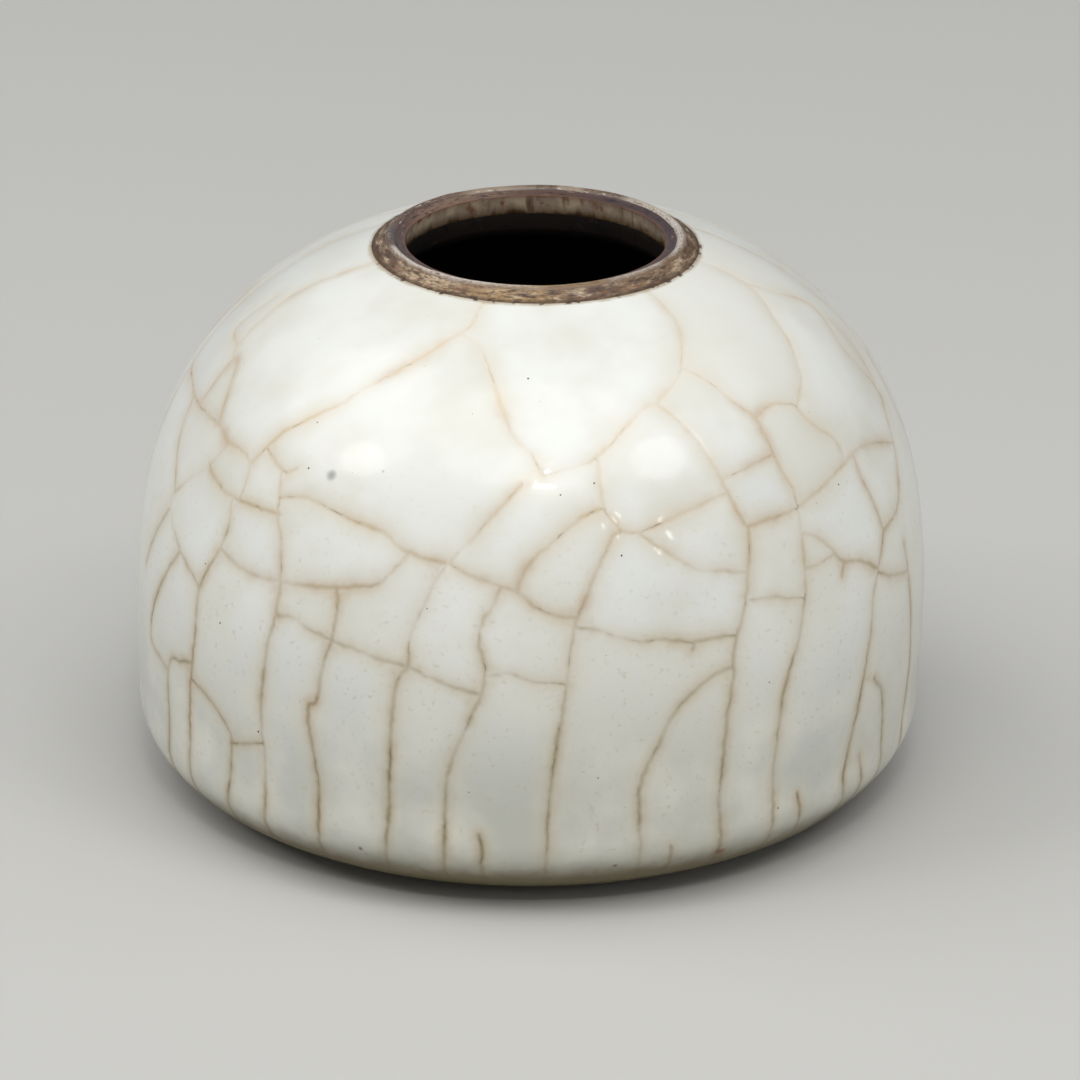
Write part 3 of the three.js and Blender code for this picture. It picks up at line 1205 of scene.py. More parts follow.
@dataclass
class Sheet:
    """A skin cut into triangles whose edges follow given lines, and closed into a tube."""

    seam: Array
    bottom: Array
    top: Array
    lines: list[Array]
    loose: Array
    merge_gap: float = 1e-6
    only_inside: int = 1

    def __post_init__(self) -> None:
        """Cuts the triangles: spots, faces, closed numbers, edge rows and the cell of each triangle."""
        borders = [self.seam, self.seam + [FULL_TURN, 0], self.bottom, self.top]
        points, edges = [], []
        for line in borders + self.lines:
            first = len(points)
            points.extend(Vector(p) for p in line)
            edges.extend((first + i, first + i + 1) for i in range(len(line) - 1))
        points.extend(Vector(p) for p in self.loose)
        made = delaunay_2d_cdt(points, edges, [], self.only_inside, self.merge_gap)
        owner = {source: number for number, sources in enumerate(made[3]) for source in sources}
        count = len(self.seam)
        self.spots = np.array([tuple(v) for v in made[0]])
        self.faces = np.array([face for face in made[2] if len(face) == 3])
        self.closed = np.arange(len(self.spots))
        for i in range(count):
            self.closed[owner[count + i]] = owner[i]
        low, high = 2 * count, 2 * count + len(self.bottom)
        self.bottom_numbers = self.closed[[owner[low + i] for i in range(len(self.bottom))]]
        self.top_numbers = self.closed[[owner[high + i] for i in range(len(self.top))]]
        barred = {tuple(sorted(edge)) for edge, sources in zip(made[1], made[4]) if sources}
        self.cells = self._number_cells(barred)

    def _number_cells(self, barred: set[tuple[int, int]]) -> Array:
        """Numbers the cells that the lines enclose, and gives each triangle its cell.

        Args:
            barred: the edges that lie on a line, as pairs of spots.

        Returns:
            The cell of each triangle.
        """
        by_edge: dict[tuple[int, int], list[int]] = {}
        for number, (a, b, c) in enumerate(self.faces.tolist()):
            for edge in ((a, b), (b, c), (c, a)):
                by_edge.setdefault(tuple(sorted(edge)), []).append(number)
        near: list[list[int]] = [[] for _ in self.faces]
        for edge, both in by_edge.items():
            if len(both) == 2 and edge not in barred:
                near[both[0]].append(both[1])
                near[both[1]].append(both[0])
        cells = [-1] * len(near)
        count = 0
        for start in range(len(near)):
            if cells[start] >= 0:
                continue
            waiting = [start]
            cells[start] = count
            while waiting:
                for other in near[waiting.pop()]:
                    if cells[other] < 0:
                        cells[other] = count
                        waiting.append(other)
            count += 1
        return np.array(cells)


@dataclass
class CrackledCoat:
    """The outer glaze: a closed shell whose outside is shaped by the crack net."""

    section: Section
    net: CrackNet
    name: str = Coat.OUTER_GLAZE.value
    grain: float = 1.25
    beside: float = 0.4
    pillow: float = 0.06
    pillow_reach: float = 2.0
    groove: float = 0.03
    groove_reach: float = 0.22
    slow_swing: float = 0.16
    slow_size: float = 21.0
    quick_swing: float = 0.02
    quick_size: float = 5.0
    edge_fade: float = 1.2
    farthest: float = 6.0
    beside_margin: float = 0.3
    beside_share: float = 0.8
    grid_margin: float = 0.55
    grid_share: float = 1.9
    jitter: float = 0.15
    grid_seed: int = 5
    tint_seed: int = 3
    back_rows: int = 14
    back_columns: int = 90
    strips: int = 2
    strip_margin: float = 0.012

    def __post_init__(self) -> None:
        """Takes the skin from the net."""
        self.skin = self.net.skin

    def _distances(self, places: Array) -> tuple[Array, Array]:
        """Distance from each place to the nearest crack, and that crack's stain.

        Args:
            places: X, Y and Z of each, in millimetres.

        Returns:
            Two rows with an entry for each place.
        """
        lines = [self.skin.place(line) for line in self.net.lines]
        here, stain = np.vstack(lines), np.concatenate(self.net.stains())
        before = np.vstack([part for line in lines for part in (line[:1], line[:-1])])
        after = np.vstack([part for line in lines for part in (line[1:], line[-1:])])
        tree = kdtree.KDTree(len(here))
        for i, spot in enumerate(here):
            tree.insert(spot, i)
        tree.balance()
        tries = 3
        found = [[hit[1] for hit in tree.find_n(p, tries)] for p in places]
        best, chosen = np.full(len(places), np.inf), np.zeros(len(places))
        for column in np.array(found).T:
            for other in (before, after):
                start, end = here[column], other[column]
                run = end - start
                length = np.maximum((run**2).sum(axis=1), 1e-12)
                share = np.clip(((places - start) * run).sum(axis=1) / length, 0, 1)
                gap = np.linalg.norm(places - start - share[:, None] * run, axis=1)
                nearer = gap < best
                best = np.where(nearer, gap, best)
                chosen = np.where(nearer, stain[column], chosen)
        return best, chosen

    def _beside_cracks(self) -> Array:
        """Points a little to both sides of every crack.

        Returns:
            Azimuth and rise of each point.
        """
        rows = []
        for line in self.net.lines:
            aside = leftwards(line) * (self.beside / self.skin.radius(line[:, 1]))[:, None]
            rows += [line + aside, line - aside]
        return np.vstack(rows)

    def _grid(self) -> Array:
        """Evenly spread points over the whole skin.

        Returns:
            Azimuth and rise of each point.
        """
        spots, rise, row = [], 0.0, 0
        random = np.random.default_rng(self.grid_seed)
        low, high = -self.jitter, self.jitter
        while rise < self.skin.top:
            radius = float(self.skin.radius(rise))
            rise += self.grain * math.sqrt(0.75) / radius
            count = round(FULL_TURN * radius / self.grain)
            start = float(np.interp(rise, self.net.left[:, 1], self.net.left[:, 0]))
            turn = (np.arange(count) + 0.5 * (row % 2) + random.uniform(low, high, count)) / count
            jitter = random.uniform(low, high, count) * self.grain / radius
            spots.append(np.column_stack([start + turn * FULL_TURN, rise + jitter]))
            row += 1
        return np.vstack(spots)

    def _clear_of_cracks(self, spots: Array, margin: float, share: float) -> Array:
        """Keeps the spots that lie inside the skin's borders and off every crack.

        Args:
            spots: azimuth and rise of each.
            margin: how far inside the borders, in millimetres.
            share: how far off the cracks, as a share of the rows beside them.

        Returns:
            The spots that are kept.
        """
        spots = spots[self.net.inside(spots, margin, margin)]
        return spots[self._distances(self.skin.place(spots))[0] > self.beside * share]

    def _unevenness(self, places: Array) -> Array:
        """How far a hand-thrown, thickly glazed wall lies off a true one at each place.

        Args:
            places: X, Y and Z of each, in millimetres.

        Returns:
            Millimetres outwards.
        """
        slow = [noise.noise(Vector(p / self.slow_size)) for p in places]
        quick = [noise.noise(Vector(p / self.quick_size)) for p in places]
        return np.array(slow) * self.slow_swing + np.array(quick) * self.quick_swing

    def _outside(self) -> tuple[Sheet, Array, dict[str, Array]]:
        """The outer sheet, its places in millimetres and its values for the shader.

        Returns:
            The three of them.
        """
        near = self._clear_of_cracks(self._beside_cracks(), self.beside_margin, self.beside_share)
        grid = self._clear_of_cracks(self._grid(), self.grid_margin, self.grid_share)
        net = self.net
        sheet = Sheet(net.left, net.bottom_row, net.top_row, net.lines[1:], np.vstack([near, grid]))
        even = self.skin.place(sheet.spots)
        gap, stain = self._distances(even)
        arc = self.skin.arc(sheet.spots[:, 1])
        below_rim = self.skin.arcs[-1] - arc
        edge = np.clip(np.minimum(arc, below_rim) / self.edge_fade, 0, 1)
        sunk = self.pillow * np.exp(-gap / self.pillow_reach)
        sunk += self.groove * np.exp(-((gap / self.groove_reach) ** 2))
        places = self.skin.place(sheet.spots, (self._unevenness(even) - sunk) * edge)
        values = {
            "crack_distance": np.minimum(gap, self.farthest),
            "crack_stain": stain,
            "foot_distance": arc,
            "rim_distance": below_rim,
        }
        return sheet, places, values

    def _uv(self, corners: Array) -> Array:
        """Map of each triangle's corners: the skin in two strips, one over the other.

        Args:
            corners: azimuth and rise of each triangle's corners.

        Returns:
            U and V of each corner.
        """
        width = FULL_TURN / self.strips
        from_left = corners[:, :, 0] + math.pi / 2
        strip = np.floor(from_left.mean(axis=1) / width)[:, None]
        up = self.skin.arc(corners[:, :, 1]) / self.skin.arcs[-1]
        margin = self.strip_margin
        u = 2 * margin + (from_left / width - strip) * (1 - 4 * margin)
        v = (strip % self.strips + margin + up * (1 - 2 * margin)) / self.strips
        return np.stack([u, v], axis=2)

    def _back(self) -> tuple[Sheet, Array]:
        """The inner sheet, which lies on the clay, and its places in millimetres.

        Returns:
            The two of them.
        """
        net, rises = self.net, np.linspace(0, self.skin.top, self.back_rows + 2)[1:-1]
        seam = net.left[[0, -1]]
        starts = np.interp(rises, seam[:, 1], seam[:, 0])
        turns = np.arange(1, self.back_columns) / self.back_columns * FULL_TURN
        loose = np.array([(start + turn, rise) for rise, start in zip(rises, starts) for turn in turns])
        sheet = Sheet(seam, net.bottom_row, net.top_row, [], loose)
        return sheet, self.skin.place(sheet.spots, -self.section.thicknesses[Coat.OUTER_GLAZE])

    @staticmethod
    def _label(mesh: Mesh, label: str, domain: str, values: Array) -> None:
        """Gives each point or face of a mesh a named value."""
        attribute = mesh.attributes.new(label, "FLOAT", domain)
        attribute.data.foreach_set("value", values.astype(np.float32))

    def build(self, material: Material) -> Piece:
        """Makes the shell as a mesh piece with its crack values and its map.

        Args:
            material: the glaze.

        Returns:
            The finished piece.
        """
        sheet, places, values = self._outside()
        back, back_places = self._back()
        offset = len(places)
        edges = ((sheet.bottom_numbers, back.bottom_numbers), (sheet.top_numbers, back.top_numbers))
        walls = []
        for outer, inner in ((outer, inner + offset) for outer, inner in edges):
            walls.append(np.column_stack([outer[:-1], outer[1:], inner[1:]]))
            walls.append(np.column_stack([outer[:-1], inner[1:], inner[:-1]]))
        faces = np.vstack([sheet.closed[sheet.faces], back.closed[back.faces] + offset, *walls])
        used, numbers = np.unique(faces, return_inverse=True)
        all_places = np.vstack([places, back_places])[used] * MM
        mesh = bpy.data.meshes.new(self.name)
        mesh.from_pydata(all_places.tolist(), [], numbers.reshape(faces.shape).tolist())
        for label, value in {**values, "outside": np.ones(offset)}.items():
            filler = 0.0 if label == "outside" else self.farthest
            whole = np.concatenate([value, np.full(len(back_places), filler)])
            self._label(mesh, label, "POINT", whole[used])
        random = np.random.default_rng(self.tint_seed)
        tints = random.uniform(0, 1, sheet.cells.max() + 1)[sheet.cells]
        rest = np.full(len(faces) - len(tints), 0.5)
        self._label(mesh, "cell_tint", "FACE", np.concatenate([tints, rest]))
        uv = np.zeros((len(faces), 3, 2), np.float32)
        uv[: len(sheet.faces)] = self._uv(sheet.spots[sheet.faces])
        layer = mesh.uv_layers.new(name="OFBake")
        layer.data.foreach_set("uv", uv.ravel())
        mesh.materials.append(material)
        mesh.shade_smooth()
        point_outwards(mesh)
        mesh.set_sharp_from_angle(angle=SHARP_ANGLE)
        return new_object(self.name, mesh)


@dataclass
class IronSpecks:
    """Iron specks that melted out on the glaze, scattered over it by Geometry Nodes."""

    name: str = "iron_specks"
    per_square_metre: float = 4200.0
    smallest: float = 0.04
    largest: float = 0.13
    rarity: float = 4.0
    flatness: float = 0.3
    seed: int = 4

    TREE = "scattered_specks"
    NUMBERS = ("per_square_metre", "smallest", "largest", "rarity", "flatness")

    @classmethod
    def tree(cls) -> Tree:
        """Builds the node tree: flat specks at random places of a glaze's outside.

        Returns:
            The tree, whose inputs are the sizes that the specks set.
        """
        kinds = {"glaze": "Geometry", **dict.fromkeys(cls.NUMBERS, "Float"), "seed": "Int"}
        tree, given = new_tree(cls.TREE, {**kinds, "material": "Material"})
        new = partial(add, tree)
        outside = new("GeometryNodeInputNamedAttribute", {"Name": "outside"}, data_type="FLOAT")
        where = {"Mesh": given["glaze"], "Selection": outside}
        chosen = {"Density": given["per_square_metre"], "Seed": given["seed"]}
        spots = new("GeometryNodeDistributePointsOnFaces", {**where, **chosen}).node.outputs
        place = new("GeometryNodeInputPosition")
        chance = new("ShaderNodeTexWhiteNoise", {"Vector": place}, noise_dimensions="3D")
        rare = new(MATH, (chance, given["rarity"]), operation="POWER")
        spread = new(RANGE, {0: rare, 3: given["smallest"], 4: given["largest"]})
        thick = new(MATH, (spread, given["flatness"]), **TIMES)
        size = new(XYZ, (spread, spread, thick))
        ball = new("GeometryNodeMeshIcoSphere", {"Radius": 1.0, "Subdivisions": 2})
        laid = {"Points": spots["Points"], "Rotation": spots["Rotation"]}
        specks = new("GeometryNodeInstanceOnPoints", {**laid, "Instance": ball, "Scale": size})
        return end_tree(tree, specks, given["material"])

    def build(self, glaze: Piece, material: Material) -> Piece:
        """Scatters the specks over the glaze as one plain mesh piece.

        Args:
            glaze: the finished outer glaze.
            material: the iron's finish.

        Returns:
            The finished piece.
        """
        values = {label: getattr(self, label) for label in (*self.NUMBERS, "seed")}
        values.update(smallest=self.smallest * MM, largest=self.largest * MM, material=material)
        mesh = evaluate_tree(glaze.data.copy(), self.tree(), values)
        for label in [a.name for a in mesh.attributes if a.name in GLAZE_VALUES]:
            mesh.attributes.remove(mesh.attributes[label])
        return new_object(self.name, mesh)


# Finishes

GLAZE_VALUES = ("crack_distance", "crack_stain", "foot_distance", "rim_distance", "outside", "cell_tint")


def find_place(tree: Tree, axis_shift: float) -> tuple[Socket, Socket, Socket, Socket]:
    """Works out where on the pot a point is, from the leaning axis.

    Args:
        tree: the material's tree.
        axis_shift: how far the axis is shifted to the right here, in millimetres.

    Returns:
        The object place in metres, the share of a turn from the back by the left, radius and height.
    """
    new = partial(add, tree)
    point = new("ShaderNodeTexCoord", out=3)
    shift = (-axis_shift * MM, 0, 0)
    centred = new(VECTOR_MATH, (point, shift), **PLUS)
    sized = new(VECTOR_MATH, {0: centred, "Scale": 1 / MM}, operation="SCALE")
    parts = new(SPLIT_XYZ, (sized,)).node.outputs
    flat = new(VECTOR_MATH, (sized, (1, 1, 0)), **TIMES)
    radius = new(VECTOR_MATH, (flat,), out=1, operation="LENGTH")
    forward = new(MATH, (parts["Y"], -1.0), **TIMES)
    angle = new(MATH, (parts["X"], forward), operation="ARCTAN2")
    around = new(MATH, (angle, 1 / FULL_TURN, 0.5), **TIMES_PLUS)
    return point, around, radius, parts["Z"]


@dataclass(frozen=True)
class Finish:
    """What every finish has: its name, its gloss and a way to paint itself, here in its ground colour."""

    name: str = ""
    ground: str = "#c8c7c3"
    roughness: float = 0.5
    ior: float = 1.5

    def build(self) -> Material:
        """Makes the material and paints it.

        Returns:
            The material.
        """
        material = bpy.data.materials.new(self.name)
        material.use_nodes = True
        tree = material.node_tree
        shader = tree.nodes["Principled BSDF"].inputs
        for label, value in {"Roughness": self.roughness, "IOR": self.ior, **self.paint(tree)}.items():
            if isinstance(value, Socket):
                tree.links.new(value, shader[label])
            else:
                shader[label].default_value = value
        return material

    def paint(self, tree: Tree) -> dict[str, Socket | float]:
        """Gives a value or a socket for each input of the shader that the finish sets."""
        return {"Base Color": linear(self.ground)}

    @staticmethod
    def layer(tree: Tree, color: str | Socket, layers: tuple) -> Socket:
        """Lays colours over a ground colour.

        Args:
            tree: the material's tree.
            color: the ground, as a hex colour or a socket.
            layers: the amount, from 0 to 1, and the colour of each layer, from below.

        Returns:
            The socket of the colour on top.
        """
        color = linear(color) if isinstance(color, str) else color
        for amount, over in layers:
            over = linear(over) if isinstance(over, str) else over
            color = add(tree, MIX, {0: amount, 6: color, 7: over}, out=2, data_type="RGBA")
        return color

    @staticmethod
    def spots(tree: Tree, point: Socket, size_mm: float, low: float, high: float) -> Socket:
        """Soft-edged spots of a real size.

        Args:
            tree: the material's tree.
            point: where, in metres.
            size_mm: how far apart the spots are.
            low: noise level at which they begin.
            high: noise level from which they are full.

        Returns:
            An amount from 0 to 1.
        """
        cloud = add(tree, NOISE, {"Vector": point, "Scale": per_metre(size_mm), "Detail": 3.0})
        return add(tree, RANGE, (cloud, low, high), **SMOOTH)


@dataclass(frozen=True)
class CrackledGlaze(Finish):
    """Thick feldspar glaze, fired glossy and milk white.

    It crazed as it cooled, and its cracks were stained: a thin dark line in a tan halo, paler on the dome.
    """

    name: str = "feldspar_glaze_fired_glossy_and_crackled"
    roughness: float = 0.3
    ior: float = 1.52
    gloss: float = 0.3
    gloss_roughness: float = 0.06
    ground: str = "#f1f2ec"
    warm_milk: str = "#e6e5da"
    cool_cell: str = "#dde1df"
    warm_cell: str = "#dedcd0"
    # painted shade: the lower wall is greyed where its light falls off towards the foot
    painted_low_shade: str = "#c7c8be"
    dust: str = "#cdc6b2"
    veil: str = "#dcd3be"
    crown_halo: str = "#e9dac4"
    foot_halo: str = "#b3a27d"
    rosy_halo: str = "#cbb296"
    crown_line: str = "#dcc8a8"
    foot_line: str = "#857a55"
    line_middle: str = "#64553a"
    # the foot's stain is iron in thin glaze and in part painted shade of the underside; the heel's colour is
    # painted shade where it turns under
    foot_stain_and_shade: str = "#6e6447"
    heel_shade: str = "#a0a190"
    rim_stain: str = "#a8926d"
    rim_dots: str = "#54402f"
    smudges: tuple = ()

    def paint(self, tree: Tree) -> dict[str, Socket | float]:
        """Paints the glaze, its painted shade low on the wall and at the heel, its cracks, its stained edges
        and its specks.

        Args:
            tree: the material's tree.

        Returns:
            A value or a socket for each input of the shader that it sets.
        """
        new = partial(add, tree)
        point = new("ShaderNodeTexCoord", out=3)
        gap, stain, up, below, tint = (
            new("ShaderNodeAttribute", out=2, attribute_name=label)
            for label in ("crack_distance", "crack_stain", "foot_distance", "rim_distance", "cell_tint")
        )
        low = new(RANGE, (up, 4.0, 66.0, 1.0, 0.0), **SMOOTH)
        # Painted shade: the lower wall is painted greyer, as its light falls off towards the foot
        shade = new(RANGE, (up, 9.0, 36.0, 1.0, 0.0), **SMOOTH)
        dusted = self.spots(tree, point, 0.7, 0.58, 0.8)
        dusty = new(MATH, (dusted, low), **TIMES)
        cool = new(RANGE, (tint, 0.0, 0.5, 0.35, 0.0))
        warm = new(RANGE, (tint, 0.5, 1.0, 0.0, 0.4))
        clouds = self.spots(tree, point, 9, 0.35, 0.75)
        veil = new(RANGE, (gap, 0.0, 3.2, 0.5, 0.0), **SMOOTH)
        veiled = new(MATH, (veil, stain), **TIMES)
        tones = ((shade, self.painted_low_shade), (cool, self.cool_cell), (warm, self.warm_cell))
        veils = ((clouds, self.warm_milk), (dusty, self.dust), (veiled, self.veil))
        color = self.layer(tree, self.ground, tones + veils)

        # The halo is ragged and patchy, the line in it soft, and only here and there is its middle dark
        rosy = self.spots(tree, point, 12, 0.5, 0.66)
        halo_color = self.layer(tree, self.crown_halo, ((low, self.foot_halo), (rosy, self.rosy_halo)))
        line_color = self.layer(tree, self.crown_line, ((low, self.foot_line),))
        rag = new(NOISE, {"Vector": point, "Scale": per_metre(2.6), "Detail": 3.0})
        ragged = new(MATH, (rag, 0.9, gap), **TIMES_PLUS)
        grain = new(NOISE, {"Vector": point, "Scale": per_metre(0.9), "Detail": 2.0})
        grained = new(MATH, (grain, 0.24, gap), **TIMES_PLUS)
        patchy = self.spots(tree, point, 6, 0.34, 0.66)
        dashed = self.spots(tree, point, 2.4, 0.5, 0.6)
        amounts = []
        for distance, inner, outer, patches, weakest, strongest in (
            (ragged, 0.25, 1.9, patchy, 0.42, 0.85),
            (grained, 0.06, 0.62, patchy, 0.36, 0.9),
            (grained, 0.1, 0.26, dashed, 0.0, 0.6),
        ):
            near = new(RANGE, (distance, inner, outer, 1.0, 0.0), **SMOOTH)
            level = new(RANGE, {0: patches, 3: weakest, 4: strongest})
            leveled = new(MATH, (near, level), **TIMES)
            amounts.append(new(MATH, (leveled, stain), **TIMES))
        halo, line, middle = amounts
        middle = new(MATH, (middle, stain), **TIMES)
        color = self.layer(tree, color, ((halo, halo_color), (line, line_color), (middle, self.line_middle)))

        # Iron from the foot and the rim bleeds into the glaze's edges. The foot's stain is partly painted
        # shade of the underside, and the heel, where it turns under, is painted darker as shade
        bled = new(MATH, (rag, 2.0, up), **TIMES_PLUS)
        foot = new(RANGE, (bled, 2.3, 7.0, 1.0, 0.0), **SMOOTH)
        heel = new(RANGE, (up, 1.0, 8.0, 0.6, 0.0), **SMOOTH)
        fringed = new(MATH, (rag, 0.9, below), **TIMES_PLUS)
        fringe = new(RANGE, (fringed, 0.4, 1.15, 0.75, 0.0), **SMOOTH)
        dotted = self.spots(tree, point, 1.2, 0.55, 0.63)
        beside_rim = new(RANGE, (below, 0.15, 0.4, 1.0, 0.0))
        dots = new(MATH, (dotted, beside_rim), **TIMES)
        below_stains_and_shade = ((heel, self.heel_shade), (foot, self.foot_stain_and_shade))
        above_stains = ((fringe, self.rim_stain), (dots, self.rim_dots))
        color = self.layer(tree, color, below_stains_and_shade + above_stains)
        for place, size, code in self.smudges:
            off = new(VECTOR_MATH, (point, place), out=1, operation="DISTANCE")
            frayed = new(MATH, (rag, size * MM, off), **TIMES_PLUS)
            edges = {1: size * MM * 0.55, 2: size * MM * 1.35, 3: 0.85, 4: 0.0}
            smudge = new(RANGE, {0: frayed, **edges}, **SMOOTH)
            color = self.layer(tree, color, ((smudge, code),))

        # A soft sheen from the milky body under a thin bright skin, duller where it is stained
        dull = new(RANGE, {0: line, 3: self.roughness, 4: 0.45})
        duller = new(MATH, (foot, 0.3, dull), **TIMES_PLUS)
        peel = new(NOISE, {"Vector": point, "Scale": per_metre(1.3), "Detail": 2.0})
        bump = new(BUMP, {"Strength": 0.1, "Distance": 0.05 * MM, "Height": peel})
        coat = {"Coat Weight": self.gloss, "Coat Roughness": self.gloss_roughness}
        return {"Base Color": color, "Roughness": duller, "Normal": bump, **coat}


@dataclass(frozen=True)
class NeckGlaze(Finish):
    """The same glaze run thin down the neck's wall: cream, streaked and spotted by the iron above it, and
    painted near-black at its foot as shade of the unlit inside.
    """

    name: str = "thin_feldspar_glaze_run_over_iron"
    roughness: float = 0.25
    axis_shift: float = 0.4
    neck_radius: float = 15.5
    ground: str = "#c8b49b"
    grey_cream: str = "#ab9885"
    streak: str = "#6a5240"
    rust_spot: str = "#8a5f48"
    low_edge: str = "#56432d"
    # painted shade of the unlit inside, under the glaze's ragged edge
    below: str = "#1c1512"
    rust_line: str = "#94532d"
    edge_height: float = 64.6
    mouth_height: float = 66.5

    def paint(self, tree: Tree) -> dict[str, Socket | float]:
        """Paints the streaks that run down, the spots, the ragged lower edge and the painted shade below it.

        Args:
            tree: the material's tree.

        Returns:
            A value or a socket for each input of the shader that it sets.
        """
        point, around, _, height = find_place(tree, self.axis_shift)
        new = partial(add, tree)
        sideways = new(MATH, (around, FULL_TURN * self.neck_radius), **TIMES)
        downwards = new(MATH, (height, 0.22), **TIMES)
        run = new(XYZ, (sideways, downwards))
        running = new(NOISE, {"Vector": run, "Scale": 0.55, "Detail": 3.0})
        streaks = new(RANGE, (running, 0.5, 0.7), **SMOOTH)
        ragged = new(MATH, (running, 2.2, height), **TIMES_PLUS)
        middle = self.edge_height + 1.1
        low = new(RANGE, (ragged, middle - 0.2, middle + 0.9, 1.0, 0.0))
        # Painted shade: below its ragged edge the neck turns near-black, as the unlit inside
        painted_inside_shade = new(RANGE, (ragged, middle - 0.7, middle - 0.1, 1.0, 0.0))
        top = new(RANGE, {0: height, 1: self.mouth_height - 0.4, 2: self.mouth_height, 4: 0.35})
        cloudy = self.spots(tree, point, 3.0, 0.42, 0.6)
        rusty = self.spots(tree, point, 1.3, 0.54, 0.72)
        spots = ((cloudy, self.grey_cream), (rusty, self.rust_spot), (streaks, self.streak))
        edges = ((top, self.rust_line), (low, self.low_edge), (painted_inside_shade, self.below))
        color = self.layer(tree, self.ground, spots + edges)
        bump = new(BUMP, {"Strength": 0.3, "Distance": 0.1 * MM, "Height": running})
        return {"Base Color": color, "Normal": bump}


@dataclass(frozen=True)
class MouthFinish(Finish):
    """A finish of the mouth's rings, whose colour changes round the pot and is mottled."""

    axis_shift: float = 0.41
    round_stops: tuple = ((-180, "#6a543c"), (180, "#6a543c"))
    drift: float = 0.035
    ring_radius: float = 18.0
    smear: float = 1.2
    spot: str = "#3c3033"
    spot_size: float = 1.6
    spot_levels: tuple[float, float] = (0.56, 0.66)
    fine: str = "#6b5442"
    fine_levels: tuple[float, float] = (0.5, 0.66)
    pale: str = "#a58d68"
    pale_levels: tuple[float, float] = (0.5, 0.62)
    inner_edge: tuple[float, float, str] = (0.0, 0.0, "#000000")
    outer_edge: tuple[float, float, str] = (0.0, 0.0, "#000000")
    edge_amount: float = 0.8
    fray: float = 0.6
    dots_from: float = 0.0
    dot: str = "#4a382c"
    bump_depth: float = 0.12

    def paint(self, tree: Tree) -> dict[str, Socket | float]:
        """Paints the colours round the mouth, the mottle and the ring's two edges.

        Args:
            tree: the material's tree.

        Returns:
            A value or a socket for each input of the shader that it sets.
        """
        point, around, radius, _ = find_place(tree, self.axis_shift)
        new = partial(add, tree)
        wander = new(NOISE, {"Vector": point, "Scale": per_metre(4.0), "Detail": 3.0})
        outwards = new(MATH, (radius, 1 / self.ring_radius), **TIMES)
        spread = new(MATH, (outwards, self.smear), operation="POWER")
        smeared = new(VECTOR_MATH, {0: point, "Scale": spread}, operation="SCALE")
        turned = new(MATH, (wander, self.drift, around), **TIMES_PLUS)
        ramp = new("ShaderNodeValToRGB", (turned,)).node
        elements = ramp.color_ramp.elements
        while len(elements) < len(self.round_stops):
            elements.new(0.5)
        for element, (degrees, code) in zip(elements, self.round_stops):
            element.position = min(1, max(0, degrees / 360 + 0.5 + self.drift / 2))
            element.color = linear(code)
        pale = self.spots(tree, smeared, self.spot_size * 1.7, *self.pale_levels)
        dark = self.spots(tree, smeared, self.spot_size, *self.spot_levels)
        fine = self.spots(tree, smeared, self.spot_size * 0.4, *self.fine_levels)
        layers = [(pale, self.pale), (fine, self.fine), (dark, self.spot)]
        ragged = new(NOISE, {"Vector": point, "Scale": per_metre(1.2), "Detail": 3.0})
        fray = new(MATH, (ragged, self.fray, radius), **TIMES_PLUS)
        for (start, end, code), rises in ((self.inner_edge, False), (self.outer_edge, True)):
            if end > start:
                levels = {3: 0.0, 4: self.edge_amount} if rises else {3: self.edge_amount, 4: 0.0}
                edge = new(RANGE, {0: fray, 1: start + self.fray / 2, 2: end + self.fray / 2, **levels})
                layers.append((edge, code))
        if self.dots_from:
            dotted = self.spots(tree, point, 1.2, 0.52, 0.6)
            outer = new(RANGE, (radius, self.dots_from, self.dots_from + 0.3))
            layers.append((new(MATH, (dotted, outer), **TIMES), self.dot))
        color = self.layer(tree, ramp.outputs[0], tuple(layers))
        bump = new(BUMP, {"Strength": 0.25, "Distance": self.bump_depth * MM, "Height": wander})
        return {"Base Color": color, "Normal": bump}


# A brushed iron dressing, fired satin and purple-brown, with a rusty line where it wears at the mouth
LIP_DRESSING = MouthFinish(
    name="iron_dressing_brushed_and_fired_on_the_lip",
    roughness=0.36,
    round_stops=(
        (-180, "#5a453c"), (-150, "#7d6656"), (-125, "#7a6152"), (-108, "#5c463f"),
        (-80, "#4b4245"), (-50, "#4a3a3a"), (0, "#4a3a3c"), (60, "#483a3d"),
        (95, "#43363b"), (150, "#4a3a39"), (180, "#5a453c"),
    ),
    spot="#352a2c",
    spot_size=1.4,
    fine="#54433f",
    pale="#856c5c",
    pale_levels=(0.6, 0.7),
    inner_edge=(15.4, 15.85, "#8a5738"),
    edge_amount=0.35,
)

# Glaze that gathered on the rim's edge: pale where it lies thick, brown where it ran thin over the iron
BEAD_GLAZE = MouthFinish(
    name="feldspar_glaze_gathered_on_the_rim",
    roughness=0.32,
    drift=0.04,
    round_stops=(
        (-180, "#5d4a3c"), (-168, "#9c8c7c"), (-154, "#94836f"), (-146, "#6a5446"),
        (-128, "#5f4a43"), (-101, "#5b4a46"), (-96, "#4f474a"), (-79, "#544b4c"),
        (-72, "#cdc4ba"), (-30, "#d2cac1"), (-4, "#bfae97"), (6, "#a08764"),
        (26, "#8a7152"), (33, "#b0a89d"), (58, "#b6ada2"), (63, "#7a5f4c"),
        (70, "#c0b8ae"), (108, "#c9c2b8"), (138, "#b3a698"), (144, "#5c4838"),
        (157, "#6a5442"), (161, "#9c8c7c"), (176, "#94836f"), (180, "#5d4a3c"),
    ),
    spot="#6d5340",
    spot_size=1.1,
    spot_levels=(0.58, 0.72),
    fine="#8f7d6b",
    pale="#cfc7bb",
    pale_levels=(0.62, 0.74),
    outer_edge=(17.3, 17.65, "#765a3f"),
    bump_depth=0.03,
)

